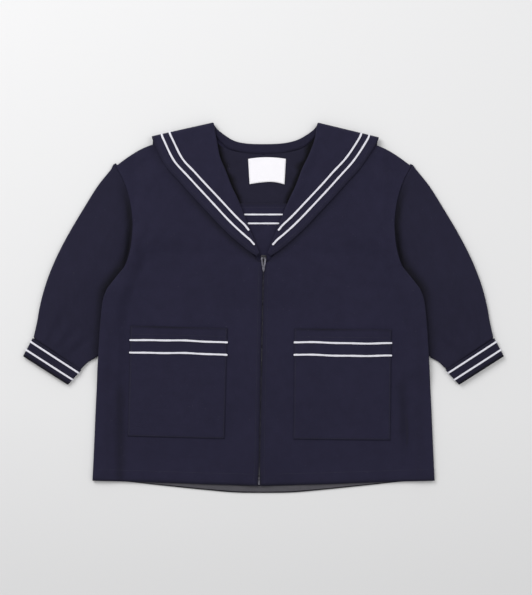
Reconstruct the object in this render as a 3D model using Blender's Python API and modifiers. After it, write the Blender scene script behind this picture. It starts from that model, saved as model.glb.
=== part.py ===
"""A sailor jacket laid flat on its back, front up: one named solid for each piece that is cut and sewn.

The jacket lies on z = 0 with its neck towards +Y, its hem towards -Y and the wearer's left at +X.
All sizes and tables are in millimetres and are turned into metres where the meshes are made.
"""
import math

import bmesh
import bpy
import numpy as np
from mathutils import Vector
from mathutils.bvhtree import BVHTree

METRES_PER_MM = 0.001

# Cloth and gaps
CLOTH = 1.2                  # wall of the body, sleeves, cuffs, pockets and chest panel
COLLAR_CLOTH = 1.6           # two plies
TAPE_THICK = 1.0
TAPE_WIDTH = 3.6
GAP = 0.3                    # between neighbours at a seam, and between a panel and what lies on it
WIDE_GAP = 0.45              # the same where both sides bend

# Body
HALF_HEM = 243.5
FRONT_HEM_CENTRE_Y = -251.5
BACK_HEM_CENTRE_Y = -262.2
HEM_CORNER_Y = -244.5
BODY_SLACK = 0.5             # space between back and front low on the body
CHEST_SLACK = 2.2            # the same above the chest, where the chest panel lies between them
SHOULDER_ROUND = 2.15        # outer radius of the shoulder fold
SEAM_OPEN = 0.8              # outer faces of a curled seam stop this far from its middle
SIDE_SWELL = 1.9             # extra slack along the side folds
SIDE_VALLEY = 40.0           # how far in from the side that slack has gone

# Zip line and how far the fronts slid to the wearer's right as they were laid
ZIP_TOP_Y = 66.0
FRONTS_SLIDE = -6.5          # at the hem, none at the top of the zip

# Collar
FLAP_BOTTOM_Y = 108.0
FLAP_HALF_WIDTH = 155.0
COLLAR_SHOULDER_LENGTH = 88.0
NECK_POINT = (74.5, 258.6)
SHOULDER_SLOPE = math.radians(15.5)
FRONT_STAND = 8.0            # neck seam to roll line
LAPEL_SEAM_GAP = 0.9         # hidden under the lapel
BACK_STAND = 14.0
ROLL_BUMP = 0.5
TAPE_FROM_EDGE = {"outer": 13.6, "inner": 24.6}
TAPE_FROM_ROLL = 3.0         # where the tapes end at the roll line

# Heights of what is stacked under the back at the collar
FLAP_UNDER_Z = TAPE_THICK + GAP
FLAP_LIFT = FLAP_UNDER_Z + COLLAR_CLOTH + GAP
TUCK_LIFT = 4.9              # the body's side lies over the inner fold of the sleeve

# Sleeves and cuffs
SLEEVE_ROUND_OUTER = 2.15
SLEEVE_ROUND_INNER = 2.0
CUFF_ROUND = 2.3
CUFF_LIFT = TAPE_THICK + GAP
MOUTH_GAP = 0.7              # from the body's armhole edge to the sleeve's
CUFF_TAPES = (5.6, 18.8)     # tape centres from the cuff seam
GATHER_COUNT = 5

# Side fold of the body: height along Y, half width there
SIDE_EDGE = [(243.5, -244.5), (241.4, -200.0), (238.4, -132.0), (235.7, -81.0), (234.3, -58.0),
             (231.5, -16.0), (227.5, 15.0), (222.0, 29.0)]
# Armhole seam, from the armpit to the shoulder point
ARMHOLE = [(222.0, 29.0), (209.0, 46.0), (196.5, 62.0), (189.0, 85.0), (186.0, 118.0),
           (189.5, 150.0), (199.0, 182.0), (211.0, 204.8)]
# Shoulder fold, from the neck seam to the shoulder point
SHOULDER = [(83.1, 258.2), (125.0, 245.0), (150.0, 236.5), (164.7, 231.5), (181.0, 224.5),
            (196.0, 215.5), (211.0, 204.8)]
# Roll line of a lapel, from the shoulder to the bottom of the V
ROLL_LINE = [(74.5, 258.6), (71.5, 240.0), (64.5, 219.5), (54.5, 198.5), (45.5, 175.0),
             (35.6, 154.0), (25.2, 128.5), (16.0, 106.0), (8.6, 87.0), (5.6, 79.0)]
# Outer edge of a lapel, from the shoulder to the bottom of the V
LAPEL_EDGE = [(159.3, 235.1), (153.8, 225.0), (137.5, 200.0), (121.5, 182.5), (105.5, 164.5),
              (78.0, 135.0), (57.5, 113.5), (35.5, 93.5), (22.5, 83.2), (10.2, 75.0)]
# Fold of the collar behind the neck, from the shoulder to the middle
NECK_FOLD = [(74.5, 258.6), (70.0, 253.0), (64.0, 248.2), (57.0, 243.8), (50.0, 240.2),
             (42.0, 237.6), (30.0, 235.6), (15.0, 234.5), (0.0, 234.2)]
# Front and back hems, from the middle to the side
FRONT_HEM = [(0.0, FRONT_HEM_CENTRE_Y), (80.0, -249.8), (160.0, -247.0), (HALF_HEM, HEM_CORNER_Y)]
BACK_HEM = [(0.0, BACK_HEM_CENTRE_Y), (40.0, -261.6), (85.0, -257.8), (156.0, -250.6),
            (199.0, -246.2), (HALF_HEM, HEM_CORNER_Y)]
# Where the body is fully lifted over the tucked sleeve: height along Y, distance from the middle
TUCK_EDGE = [(-20.0, 213.0), (17.0, 207.0), (36.0, 198.0), (50.0, 193.0), (64.0, 187.0), (96.0, 183.0)]
TUCK_RAMP = 20.0
# Outer and inner folds of a sleeve, from the armhole to the cuff seam
SLEEVE_OUTER = [(212.8, 203.6), (223.0, 191.3), (236.4, 174.3), (257.7, 140.2), (277.6, 106.1),
                (294.7, 72.1), (308.0, 38.0), (317.0, 4.0), (321.0, -20.0), (325.4, -40.9)]
SLEEVE_INNER = [(202.0, 36.0), (210.5, 17.0), (215.0, -8.0), (217.5, -35.0), (226.0, -59.0),
                (237.0, -69.8), (247.5, -76.0), (258.2, -86.3)]
# The sleeve's underarm is tucked behind the body: how far it lies from the body's own armpit
TUCK_SHIFT = (-20.0, 7.0)
TUCK_FROM_Y = 96.0
CUFF_OUTER = [(326.6, -42.0), (339.0, -65.2)]
CUFF_INNER = [(257.4, -87.4), (274.8, -106.4)]
# Half the gap between the fronts, along Y
ZIP_HALF_GAP = [(-252.0, 1.8), (-238.0, 1.7), (-215.0, 0.5), (-95.0, 0.5), (-72.0, 0.9),
                (-45.0, 0.5), (67.0, 0.5)]

# Pockets, measured from the zip line
POCKET_NEAR_X = 47.6
POCKET_FAR_X = 185.6
POCKET_TOP_Y = -27.3
POCKET_BOTTOM_Y = -185.0
POCKET_TAPES = (19.8, 37.6)  # tape centres below the pocket's top
POCKET_TILT = {1: -0.6, -1: -1.5}  # degrees, as the fronts were laid

# Chest panel: half widths and heights
DICKEY_TOP = (51.0, 149.5)
DICKEY_BOTTOM = (22.0, 46.0)
DICKEY_TAPES = (133.8, 121.2)
LABEL_CENTRE = (5.0, 195.6)
LABEL_SIZE = (54.0, 37.0)

# Zip
CHAIN_HALF_WIDTH = 1.5
CHAIN_THICK = 1.6
ZIP_TAPE_WIDTH = 11.0
ZIP_TAPE_THICK = 1.0
SLIDER_HALF_WIDTH = 4.0
SLIDER_FROM_Y = 67.5
SLIDER_TO_Y = 76.3
SLIDER_HEIGHT = 2.5
ARCH_RADIUS = 2.1
ARCH_WIRE = 0.45
PIVOT_Y = 71.7
PIVOT_ABOVE_SLIDER = 1.8
ZIP_RIDGE = 1.95             # the fronts rise this much over the chain
PULL_LENGTH = 20.5
PULL_WIDTH = 8.2
PULL_THICK = 1.3
BOX_LENGTH = 11.0
BOX_HALF_WIDTH = 1.4

COLOURS = {
    "navy cloth": ((0.022, 0.021, 0.043), 0.85, 0.0),
    "white tape": ((0.78, 0.76, 0.80), 0.70, 0.0),
    "label white": ((0.92, 0.90, 0.93), 0.75, 0.0),
    "zip tape navy": ((0.012, 0.012, 0.022), 0.80, 0.0),
    "silver metal": ((0.60, 0.59, 0.62), 0.32, 1.0),
    "black metal": ((0.015, 0.015, 0.018), 0.38, 1.0),
}


def ease(value, start, end):
    """Smooth step from 0 at start to 1 at end; start may be the larger."""
    share = min(max((value - start) / (end - start), 0.0), 1.0)
    return share * share * (3.0 - 2.0 * share)


def bell(value, centre, width):
    return math.exp(-((value - centre) / width) ** 2)


def read_table(table, value):
    keys = [row[0] for row in table]
    return float(np.interp(value, keys, [row[1] for row in table]))


class Path:
    """A smooth curve through the rows of a short table, read by its share of length."""

    POINTS_PER_SPAN = 10

    def __init__(self, rows):
        knots = np.array(rows, float)
        first = 2 * knots[0] - knots[1]
        last = 2 * knots[-1] - knots[-2]
        padded = np.vstack([first, knots, last])
        points = []
        for index in range(len(knots) - 1):
            points.extend(self.span(*padded[index:index + 4]))
        points.append(knots[-1])
        self.points = np.array(points)
        steps = np.linalg.norm(np.diff(self.points, axis=0), axis=1)
        self.run = np.concatenate([[0.0], np.cumsum(steps)])
        self.length = self.run[-1]

    @classmethod
    def span(cls, before, start, end, after):
        """Points of one centripetal Catmull-Rom span, without its end."""
        times = [0.0]
        for near, far in ((before, start), (start, end), (end, after)):
            times.append(times[-1] + math.sqrt(np.linalg.norm(far - near)))
        found = []
        for step in range(cls.POINTS_PER_SPAN):
            t = times[1] + (times[2] - times[1]) * step / cls.POINTS_PER_SPAN
            level = [before, start, end, after]
            for width in (1, 2, 3):
                lower = {1: (0, 1, 2), 2: (0, 1), 3: (1,)}[width]
                mixed = []
                for slot, low in enumerate(lower):
                    high = low + width if width < 3 else 2
                    share = (t - times[low]) / (times[high] - times[low])
                    mixed.append(level[slot] * (1 - share) + level[slot + 1] * share)
                level = mixed
            found.append(level[0])
        return found

    def at(self, share):
        run = min(max(share, 0.0), 1.0) * self.length
        return np.array([np.interp(run, self.run, self.points[:, axis]) for axis in (0, 1)])

    def along(self, share):
        step = 0.004
        ahead = self.at(min(share + step, 1.0))
        behind = self.at(max(share - step, 0.0))
        return (ahead - behind) / np.linalg.norm(ahead - behind)

    def left(self, share):
        direction = self.along(share)
        return np.array([-direction[1], direction[0]])


def joined(first, second, corner):
    """A boundary made of two paths that meet where the share is corner."""
    def at(share):
        if share <= corner:
            return first(share / corner)
        return second((share - corner) / (1.0 - corner))
    return at


def coons(u, v, low, high, left, right):
    """Point of the patch between four boundaries, at shares u across and v up."""
    across = (1 - u) * left(v) + u * right(v)
    upward = (1 - v) * low(u) + v * high(u)
    corners = (1 - u) * ((1 - v) * low(0) + v * high(0)) + u * ((1 - v) * low(1) + v * high(1))
    return across + upward - corners


# ---- Heights of the stacked layers ----

def fronts_slide(y):
    share = min(max((ZIP_TOP_Y - y) / (ZIP_TOP_Y - FRONT_HEM_CENTRE_Y), 0.0), 1.0)
    return FRONTS_SLIDE * share


def flap_lift(x, y):
    over_flap = ease(abs(x), 184.0, 168.0) * ease(y, FLAP_BOTTOM_Y - 33.0, FLAP_BOTTOM_Y - 5.0)
    return FLAP_LIFT * over_flap


def tuck_lift(x, y):
    beside_sleeve = ease(y, -118.0, -80.0) * ease(y, 126.0, 100.0)
    full_x = read_table(TUCK_EDGE, y)
    return TUCK_LIFT * ease(abs(x), full_x - TUCK_RAMP, full_x) * beside_sleeve


def back_under(x, y):
    return flap_lift(x, y) + tuck_lift(x, y)


def back_top(x, y):
    return back_under(x, y) + CLOTH


def side_distance(x, y):
    """How far a place lies in from the side fold."""
    return read_table([(row[1], row[0]) for row in SIDE_EDGE], y) - abs(x)


def side_swell(x, y):
    inward = side_distance(x, y)
    swell = ease(inward, SIDE_VALLEY, 12.0) - 0.35 * bell(inward, SIDE_VALLEY + 4.0, 9.0)
    return SIDE_SWELL * swell * ease(y, 60.0, 10.0)


def chest_share(y):
    """From 0 below the chest panel to 1 over it."""
    return ease(y, 0.0, DICKEY_BOTTOM[1] - 2.0)


def slack(x, y):
    """Space between the back's inside and the front's inside."""
    chest = BODY_SLACK + (CHEST_SLACK - BODY_SLACK) * chest_share(y)
    zip_ridge = ZIP_RIDGE * ease(abs(x - fronts_slide(y)), 34.0, 5.0) * ease(y, 92.0, 72.0)
    sway = 0.3 * (1.0 + math.sin(x * 0.045 + 1.0) * math.sin(y * 0.031))
    sway *= ease(y, 30.0, 0.0) * ease(side_distance(x, y), 4.0, 30.0)
    return chest + zip_ridge + max(side_swell(x, y), -0.1) + sway


def front_under(x, y):
    return back_top(x, y) + slack(x, y)


def front_top(x, y):
    return front_under(x, y) + CLOTH


def lapel_top(x, y):
    return front_top(x, y) + GAP + COLLAR_CLOTH


# ---- Mesh helpers ----

def material_named(name):
    material = bpy.data.materials.get(name)
    if material:
        return material
    colour, roughness, metallic = COLOURS[name]
    material = bpy.data.materials.new(name)
    material.use_nodes = True
    shader = material.node_tree.nodes["Principled BSDF"]
    shader.inputs["Base Color"].default_value = (*colour, 1.0)
    shader.inputs["Roughness"].default_value = roughness
    shader.inputs["Metallic"].default_value = metallic
    return material


class Surface:
    """The outer face of a laid panel, read from straight above."""

    def __init__(self, piece):
        corners = [vertex.co for vertex in piece.data.vertices]
        self.tree = BVHTree.FromPolygons(corners, [face.vertices for face in piece.data.polygons])

    def height(self, x, y):
        above = Vector((x * METRES_PER_MM, y * METRES_PER_MM, 1.0))
        found = self.tree.ray_cast(above, Vector((0.0, 0.0, -1.0)))[0]
        return found.z / METRES_PER_MM


def add_object(name, mesh, material):
    mesh.materials.append(material_named(material))
    piece = bpy.data.objects.new(name, mesh)
    bpy.data.collections["Sailor jacket"].objects.link(piece)
    return piece


def cloth(name, columns, rows, place, wall, material, ring=False, face_down=False, mirrored=False):
    """A grid carried onto place(column, row), its outer face, and given a wall behind that face."""
    form = bmesh.new()
    bmesh.ops.create_grid(form, x_segments=columns, y_segments=rows, size=0.5)
    form.verts.ensure_lookup_table()
    for index, vertex in enumerate(form.verts):
        row, column = divmod(index, columns + 1)
        vertex.co = Vector([float(value) * METRES_PER_MM for value in place(column, row)])
    if ring:
        bmesh.ops.remove_doubles(form, verts=form.verts, dist=1e-6)
    if face_down:
        bmesh.ops.reverse_faces(form, faces=form.faces)
    mesh = bpy.data.meshes.new(name)
    form.to_mesh(mesh)
    form.free()
    mesh.shade_smooth()
    piece = add_object(name, mesh, material)
    if mirrored:
        mirror = piece.modifiers.new("Mirror", "MIRROR")
        mirror.merge_threshold = 0.00001
    solidify = piece.modifiers.new("Solidify", "SOLIDIFY")
    solidify.thickness = wall * METRES_PER_MM
    solidify.offset = -1.0
    return piece


def spread(start, end, count):
    return [float(value) for value in np.linspace(start, end, count)]


def curl(run, bend):
    """Outward run and drop of a strip that starts level and bends with the given curvature."""
    if bend < 1e-4:
        return run, 0.0
    return math.sin(bend * run) / bend, (1.0 - math.cos(bend * run)) / bend


# ---- Body panels ----

FLAT_COLUMNS = [0.0, 0.03, 0.07, 0.15, 0.27, 0.4, 0.53, 0.66, 0.76, 0.83, 0.89, 0.945, 1.0]
CORNER_SHARE = 0.6           # the armpit, and the top of the zip
UPPER_SHARES = [0.0, 0.04, 0.08, 0.12, 0.17, 0.22, 0.28, 0.35, 0.43, 0.53, 0.63, 0.75, 0.87, 1.0]
NECK_CORNER = 0.43           # share of the upper rows at the middle of the back's neck seam
LOWER_ROWS = spread(0.0, CORNER_SHARE, 10)
PANEL_ROWS = LOWER_ROWS + [CORNER_SHARE + (1.0 - CORNER_SHARE) * share for share in UPPER_SHARES[1:]]
CURL_STEPS = 3


class Panel:
    """One half of a body panel: its flat part by a patch, its side and shoulder by curls."""

    def __init__(self, hem, inner_edge, height, turns_down):
        self.side = joined(Path(SIDE_EDGE).at, Path(ARMHOLE).at, CORNER_SHARE)
        self.shoulder = Path(SHOULDER)
        self.hem = hem
        self.inner_edge = inner_edge
        self.height = height
        self.turn = -1.0 if turns_down else 1.0

    def side_bend(self, share):
        """Fold radius at the side and how much of the quarter turn is made there."""
        x, y = self.side(share)
        thickness = front_top(x - 3.0, y) - back_under(x - 3.0, y)
        radius = thickness / 2.0
        return radius, ease(y, 76.0, 34.0)

    def curl_at(self, radius, amount, step):
        full = radius * math.acos(SEAM_OPEN / radius)
        return curl(full * step / CURL_STEPS, amount / radius)

    def side_inset(self, share):
        radius, amount = self.side_bend(share)
        inset = self.curl_at(radius, amount, CURL_STEPS)[0]
        return self.side(share) - np.array([inset, 0.0])

    def shoulder_out(self, across):
        return self.shoulder.left(across)

    def shoulder_inset(self, across):
        inset = self.curl_at(SHOULDER_ROUND, 1.0, CURL_STEPS)[0]
        return self.shoulder.at(across) - self.shoulder_out(across) * inset

    def patch(self, u, v):
        corner_low = self.hem(1.0)
        run = self.curl_at(self.side_bend(1.0)[0], 0.0, CURL_STEPS)[0]
        corner_top = self.shoulder_inset(1.0) - np.array([run, 0.0])

        def right(share):
            level = self.side_inset(share)
            pull = ease(share, 0.8, 1.0)
            start = self.side_inset(1.0)
            return level + (corner_top - start) * pull

        def low(share):
            return self.hem(share) + (right(0.0) - corner_low) * share

        def high(share):
            begin = self.inner_edge(1.0) - self.shoulder_inset(0.0)
            finish = corner_top - self.shoulder_inset(1.0)
            return self.shoulder_inset(share) + begin * (1.0 - share) + finish * share

        return coons(u, v, low, high, self.inner_edge, right)

    def place(self, column, row):
        flat_columns = len(FLAT_COLUMNS) - 1
        flat_rows = len(PANEL_ROWS) - 1
        u = FLAT_COLUMNS[min(column, flat_columns)]
        v = PANEL_ROWS[min(row, flat_rows)]
        x, y = self.patch(u, v)
        drop = 0.0
        if column > flat_columns:
            radius, amount = self.side_bend(v)
            out, drop = self.curl_at(radius, amount, column - flat_columns)
            x += out
        z = self.height(x, y)
        if row > flat_rows:
            out, fall = self.curl_at(SHOULDER_ROUND, 1.0, row - flat_rows)
            across = min(u + 0.02 * max(column - flat_columns, 0), 1.0)
            direction = self.shoulder_out(across)
            z = self.height(x, y)
            x += direction[0] * out
            y += direction[1] * out
            drop += fall
        return x, y, z + self.turn * drop

    def columns(self):
        return len(FLAT_COLUMNS) - 1 + CURL_STEPS

    def rows(self):
        return len(PANEL_ROWS) - 1 + CURL_STEPS


class Lapel:
    """Section lines of the collar over the fronts, by share from the shoulder to the V."""

    def __init__(self):
        self.roll = Path(ROLL_LINE)
        self.edge = Path(LAPEL_EDGE)

    def section(self, share):
        start = self.roll.at(share)
        reach = self.edge.at(share) - start
        width = np.linalg.norm(reach)
        return start, reach / width, width

    def stand(self, share):
        return min(FRONT_STAND, self.section(share)[2] - 1.2)

    def seam(self, share, beyond=0.0):
        start, direction, _ = self.section(share)
        return start + direction * (self.stand(share) + beyond)


class Flap:
    """Section lines of the collar behind the neck, by share from the shoulder to the middle."""

    CORNER = 0.46

    def __init__(self):
        self.fold = Path(NECK_FOLD)
        end = LAPEL_EDGE[0]
        self.side = (np.array(end), np.array((FLAP_HALF_WIDTH, FLAP_BOTTOM_Y)))
        self.bottom = (np.array((FLAP_HALF_WIDTH, FLAP_BOTTOM_Y)), np.array((0.0, FLAP_BOTTOM_Y)))

    def boundary(self, share):
        if share <= self.CORNER:
            start, end = self.side
            part = share / self.CORNER
        else:
            start, end = self.bottom
            part = (share - self.CORNER) / (1.0 - self.CORNER)
        return start + (end - start) * part

    def section(self, share):
        start = self.fold.at(share)
        reach = self.boundary(share) - start
        width = np.linalg.norm(reach)
        return start, reach / width, width

    def stand(self, share):
        return FRONT_STAND + (BACK_STAND - FRONT_STAND) * ease(share, 0.0, 0.5)

    def seam(self, share, beyond=0.0):
        start, direction, _ = self.section(share)
        return start + direction * (self.stand(share) + beyond)


FLAP_SHARES = [0.0, 0.14, 0.3, Flap.CORNER, 0.7, 1.0]
LAPEL = Lapel()
FLAP = Flap()


def front_panel(name, side):
    def centre_edge(share):
        y = FRONT_HEM_CENTRE_Y + (ZIP_TOP_Y - FRONT_HEM_CENTRE_Y) * share
        return np.array([read_table(ZIP_HALF_GAP, y) + side * fronts_slide(y), y])

    seam_rows = [tuple(centre_edge(1.0)), (5.6, 66.5), (10.2, 70.0)]
    seam_rows += [tuple(LAPEL.seam(share, LAPEL_SEAM_GAP))
                  for share in (0.9, 0.75, 0.6, 0.45, 0.3, 0.15, 0.0)]
    hem_path = Path([tuple(centre_edge(0.0))] + FRONT_HEM[1:])
    edge = joined(centre_edge, Path(seam_rows).at, CORNER_SHARE)

    def height(x, y):
        return front_top(side * x, y)

    panel = Panel(hem_path.at, edge, height, turns_down=True)

    def place(column, row):
        x, y, z = panel.place(column, row)
        return side * x, y, z

    return cloth(name, panel.columns(), panel.rows(), place, CLOTH, "navy cloth", face_down=side < 0)


def back_panel():
    seam_rows = [tuple(FLAP.seam(share, GAP)) for share in reversed(FLAP_SHARES)]
    seam_shares = spread(0.0, 1.0, len(seam_rows))
    row_shares = [(share - NECK_CORNER) / (1.0 - NECK_CORNER)
                  for share in UPPER_SHARES if share >= NECK_CORNER]
    corner = CORNER_SHARE + (1.0 - CORNER_SHARE) * NECK_CORNER
    middle = (Path(SIDE_EDGE).at(1.0)[1] - BACK_HEM_CENTRE_Y) / (seam_rows[0][1] - BACK_HEM_CENTRE_Y)

    def inner_edge(share):
        if share <= corner:
            part = np.interp(share, (0.0, CORNER_SHARE, corner), (0.0, middle, 1.0))
            return np.array([0.0, BACK_HEM_CENTRE_Y + (seam_rows[0][1] - BACK_HEM_CENTRE_Y) * part])
        along = np.interp((share - corner) / (1.0 - corner), row_shares, seam_shares)
        return np.array([np.interp(along, seam_shares, [row[axis] for row in seam_rows])
                         for axis in (0, 1)])

    panel = Panel(Path(BACK_HEM).at, inner_edge, back_under, turns_down=False)
    cloth("back", panel.columns(), panel.rows(), panel.place, CLOTH, "navy cloth",
          face_down=True, mirrored=True)


# ---- Collar ----

COLLAR_ACROSS = spread(0.0, 1.0, 6)[1:]
ROLL_ANGLES = spread(-90.0, 90.0, 5)
LAPEL_SHARES = spread(1.0, 0.0, 13)
WRAP_ANGLES = spread(0.0, 180.0, 6)[1:-1]
AXIS_OUT = np.array([math.cos(SHOULDER_SLOPE), -math.sin(SHOULDER_SLOPE)])
AXIS_UP = np.array([math.sin(SHOULDER_SLOPE), math.cos(SHOULDER_SLOPE)])
NECK_LAPEL_Z = FLAP_LIFT + CLOTH + CHEST_SLACK + CLOTH + GAP + COLLAR_CLOTH + ROLL_BUMP
WRAP_RADIUS = (NECK_LAPEL_Z - FLAP_UNDER_Z) / 2.0
WRAP_HEIGHT = (NECK_LAPEL_Z + FLAP_UNDER_Z) / 2.0
STAND_RADIUS = FLAP_LIFT + CLOTH + CHEST_SLACK - WRAP_HEIGHT
BACK_STAND_TOP = WRAP_HEIGHT - STAND_RADIUS


def wrap_axis_y(x):
    return NECK_POINT[1] - (x - NECK_POINT[0]) * math.tan(SHOULDER_SLOPE)


def shoulder_puff(x, y):
    """The collar stands a little proud along the shoulder fold."""
    below = (wrap_axis_y(x) - y) * math.cos(SHOULDER_SLOPE)
    return ROLL_BUMP * ease(below, 26.0, 0.0)


def lapel_height(x, y, from_roll):
    bump = max(ROLL_BUMP * bell(from_roll, 0.0, 9.0), shoulder_puff(x, y))
    return lapel_top(x, y) + bump


def fold_section(low, high, stand, width):
    """Run from the roll and level of a section: stand, roll and leaf, as (run, low-to-high share)."""
    radius = (high - low) / 2.0
    points = [(stand, low), ((stand + radius) / 2.0, low)]
    for angle in ROLL_ANGLES:
        turn = math.radians(angle)
        points.append((radius - radius * math.cos(turn), (low + high) / 2.0 + radius * math.sin(turn)))
    points += [(radius + (width - radius) * share, high) for share in COLLAR_ACROSS]
    return points


def lapel_station(share):
    start, direction, width = LAPEL.section(share)
    tip = start + direction * 3.0
    low = front_under(*tip)
    high = lapel_height(*tip, 3.0)
    points = []
    for run, level in fold_section(low, high, LAPEL.stand(share), width):
        x, y = start + direction * run
        if level <= low:
            level = front_under(x, y)
        elif level >= high:
            level = lapel_height(x, y, run)
        points.append((x, y, level))
    return points


def wrap_station(degrees):
    """The same section turned about the shoulder fold, half a turn from front to back."""
    turn = math.radians(degrees)
    start = np.array(NECK_POINT)
    points = []
    for run, level in fold_section(STAND_RADIUS, WRAP_RADIUS, FRONT_STAND, COLLAR_SHOULDER_LENGTH):
        x, y = start + AXIS_OUT * run + AXIS_UP * (level * math.sin(turn))
        points.append((x, y, WRAP_HEIGHT + level * math.cos(turn)))
    return points


def flap_station(share):
    start, direction, width = FLAP.section(share)
    points = []
    for run, level in fold_section(STAND_RADIUS, WRAP_RADIUS, FLAP.stand(share), width):
        x, y = start + direction * run
        points.append((x, y, WRAP_HEIGHT - level))
    return points


def collar():
    stations = [lapel_station(share) for share in LAPEL_SHARES]
    stations += [wrap_station(degrees) for degrees in WRAP_ANGLES]
    stations += [flap_station(share) for share in FLAP_SHARES]

    def place(column, row):
        return stations[row][column]

    cloth("collar", len(stations[0]) - 1, len(stations) - 1, place, COLLAR_CLOTH, "navy cloth",
          mirrored=True)


def ribbon(name, points, ups, width, thick, material, gap=GAP, mirrored=False, flip=False):
    """A flat tape along points, its lower face a gap above them along ups."""
    points = np.array(points, float)
    ups = np.array(ups, float)
    count = len(points)

    def place(column, row):
        along = points[min(row + 1, count - 1)] - points[max(row - 1, 0)]
        across = np.cross(along, ups[row])
        across /= np.linalg.norm(across)
        if mirrored and row == count - 1:
            across = np.array([0.0, -1.0, 0.0])
        offset = (column - 0.5) * width
        return points[row] + ups[row] * (gap + thick) + across * offset

    cloth(name, 1, count - 1, place, thick, material, face_down=flip, mirrored=mirrored)


def lapel_tape_run(share, from_edge):
    """How far from the roll line a tape's middle lies on a lapel section."""
    _, direction, width = LAPEL.section(share)
    return width - from_edge / abs(float(np.dot(direction, LAPEL.edge.left(share))))


def collar_tape(which):
    from_edge = TAPE_FROM_EDGE[which]
    lowest = max(share for share in spread(0.0, 1.0, 200)
                 if lapel_tape_run(share, from_edge) > TAPE_FROM_ROLL)
    points = []
    ups = []
    for share in spread(lowest, 0.0, 15):
        start, direction, _ = LAPEL.section(share)
        run = lapel_tape_run(share, from_edge)
        x, y = start + direction * run
        points.append((x, y, lapel_height(x, y, run)))
        ups.append((0.0, 0.0, 1.0))
    for degrees in WRAP_ANGLES:
        turn = math.radians(degrees)
        x, y = np.array(NECK_POINT) + AXIS_OUT * run + AXIS_UP * (WRAP_RADIUS * math.sin(turn))
        points.append((x, y, WRAP_HEIGHT + WRAP_RADIUS * math.cos(turn)))
        ups.append((AXIS_UP[0] * math.sin(turn), AXIS_UP[1] * math.sin(turn), math.cos(turn)))
    side_x = FLAP_HALF_WIDTH - from_edge
    low_y = FLAP_BOTTOM_Y + from_edge
    corner_cut = TAPE_WIDTH * 0.5
    flap_rows = [tuple(np.array(NECK_POINT) + AXIS_OUT * run), (side_x + 1.0, 170.0),
                 (side_x, low_y + corner_cut), (side_x - corner_cut, low_y), (60.0, low_y), (0.0, low_y)]
    for x, y in flap_rows:
        points.append((x, y, FLAP_UNDER_Z))
        ups.append((0.0, 0.0, -1.0))
    ribbon("collar_tape_" + which, points, ups, TAPE_WIDTH, TAPE_THICK, "white tape", mirrored=True)


# ---- Chest panel and label ----

DICKEY_ROWS = [0.0, 0.16, 0.28, 0.36, 0.44, 0.52, 0.6, 0.8, 1.0]


def dickey():
    def place(column, row):
        share = DICKEY_ROWS[row]
        half = DICKEY_BOTTOM[0] + (DICKEY_TOP[0] - DICKEY_BOTTOM[0]) * share
        y = DICKEY_BOTTOM[1] + (DICKEY_TOP[1] - DICKEY_BOTTOM[1]) * share
        x = half * (column / 4.0 - 1.0)
        return x, y, dickey_top(x, y)
    cloth("dickey", 8, len(DICKEY_ROWS) - 1, place, CLOTH, "navy cloth")


def dickey_top(x, y):
    return back_top(x, y) + WIDE_GAP + CLOTH


def dickey_tapes():
    for number, y in enumerate(DICKEY_TAPES, start=1):
        rows = np.array(ROLL_LINE)
        half = float(np.interp(-y, -rows[:, 1], rows[:, 0])) - 0.8
        xs = spread(-half, half, 7)
        points = [(x, y, dickey_top(x, y)) for x in xs]
        ribbon(f"dickey_tape_{number}", points, [(0, 0, 1.0)] * len(points), TAPE_WIDTH * 0.8,
               TAPE_THICK, "white tape")


def label():
    def place(column, row):
        x = LABEL_CENTRE[0] + LABEL_SIZE[0] * (column / 4.0 - 0.5)
        y = LABEL_CENTRE[1] + LABEL_SIZE[1] * (row / 3.0 - 0.5)
        return x, y, back_top(x, y) + GAP + TAPE_THICK
    cloth("label", 4, 3, place, TAPE_THICK, "label white")


# ---- Pockets ----

def pocket_point(side, run, drop):
    """A place on a front: run from the zip line and drop below the pocket's top."""
    tilt = math.radians(POCKET_TILT[side])
    centre = (POCKET_NEAR_X + POCKET_FAR_X) / 2.0
    x = side * (run - centre)
    y = -drop
    turned_x = x * math.cos(tilt) - y * math.sin(tilt)
    turned_y = x * math.sin(tilt) + y * math.cos(tilt)
    middle_y = (POCKET_TOP_Y + POCKET_BOTTOM_Y) / 2.0
    lift = 1.5 * side
    return (side * centre + fronts_slide(middle_y) + turned_x, POCKET_TOP_Y + turned_y - lift)


def pocket(name, side, front):
    depth = POCKET_TOP_Y - POCKET_BOTTOM_Y
    surface = Surface(front)

    def place(column, row):
        run = POCKET_NEAR_X + (POCKET_FAR_X - POCKET_NEAR_X) * column / 8.0
        x, y = pocket_point(side, run, depth * (1.0 - row / 8.0))
        return x, y, surface.height(x, y) + GAP + CLOTH

    piece = cloth("pocket_" + name, 8, 8, place, CLOTH, "navy cloth", face_down=side < 0)
    surface = Surface(piece)
    for number, drop in enumerate(POCKET_TAPES, start=1):
        points = []
        for run in spread(POCKET_NEAR_X + 0.1, POCKET_FAR_X - 0.1, 9):
            x, y = pocket_point(side, run, drop)
            points.append((x, y, surface.height(x, y)))
        ribbon(f"pocket_tape_{name}_{number}", points, [(0, 0, 1.0)] * len(points), TAPE_WIDTH,
               TAPE_THICK, "white tape", flip=side < 0)


# ---- Sleeves and cuffs ----

ACROSS_SHARES = [1.0 - share for share in reversed(UPPER_SHARES)]
TOP_STEPS = len(ACROSS_SHARES) - 1
FOLD_STEPS = 4
RING_STEPS = 2 * TOP_STEPS + 2 * FOLD_STEPS


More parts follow.
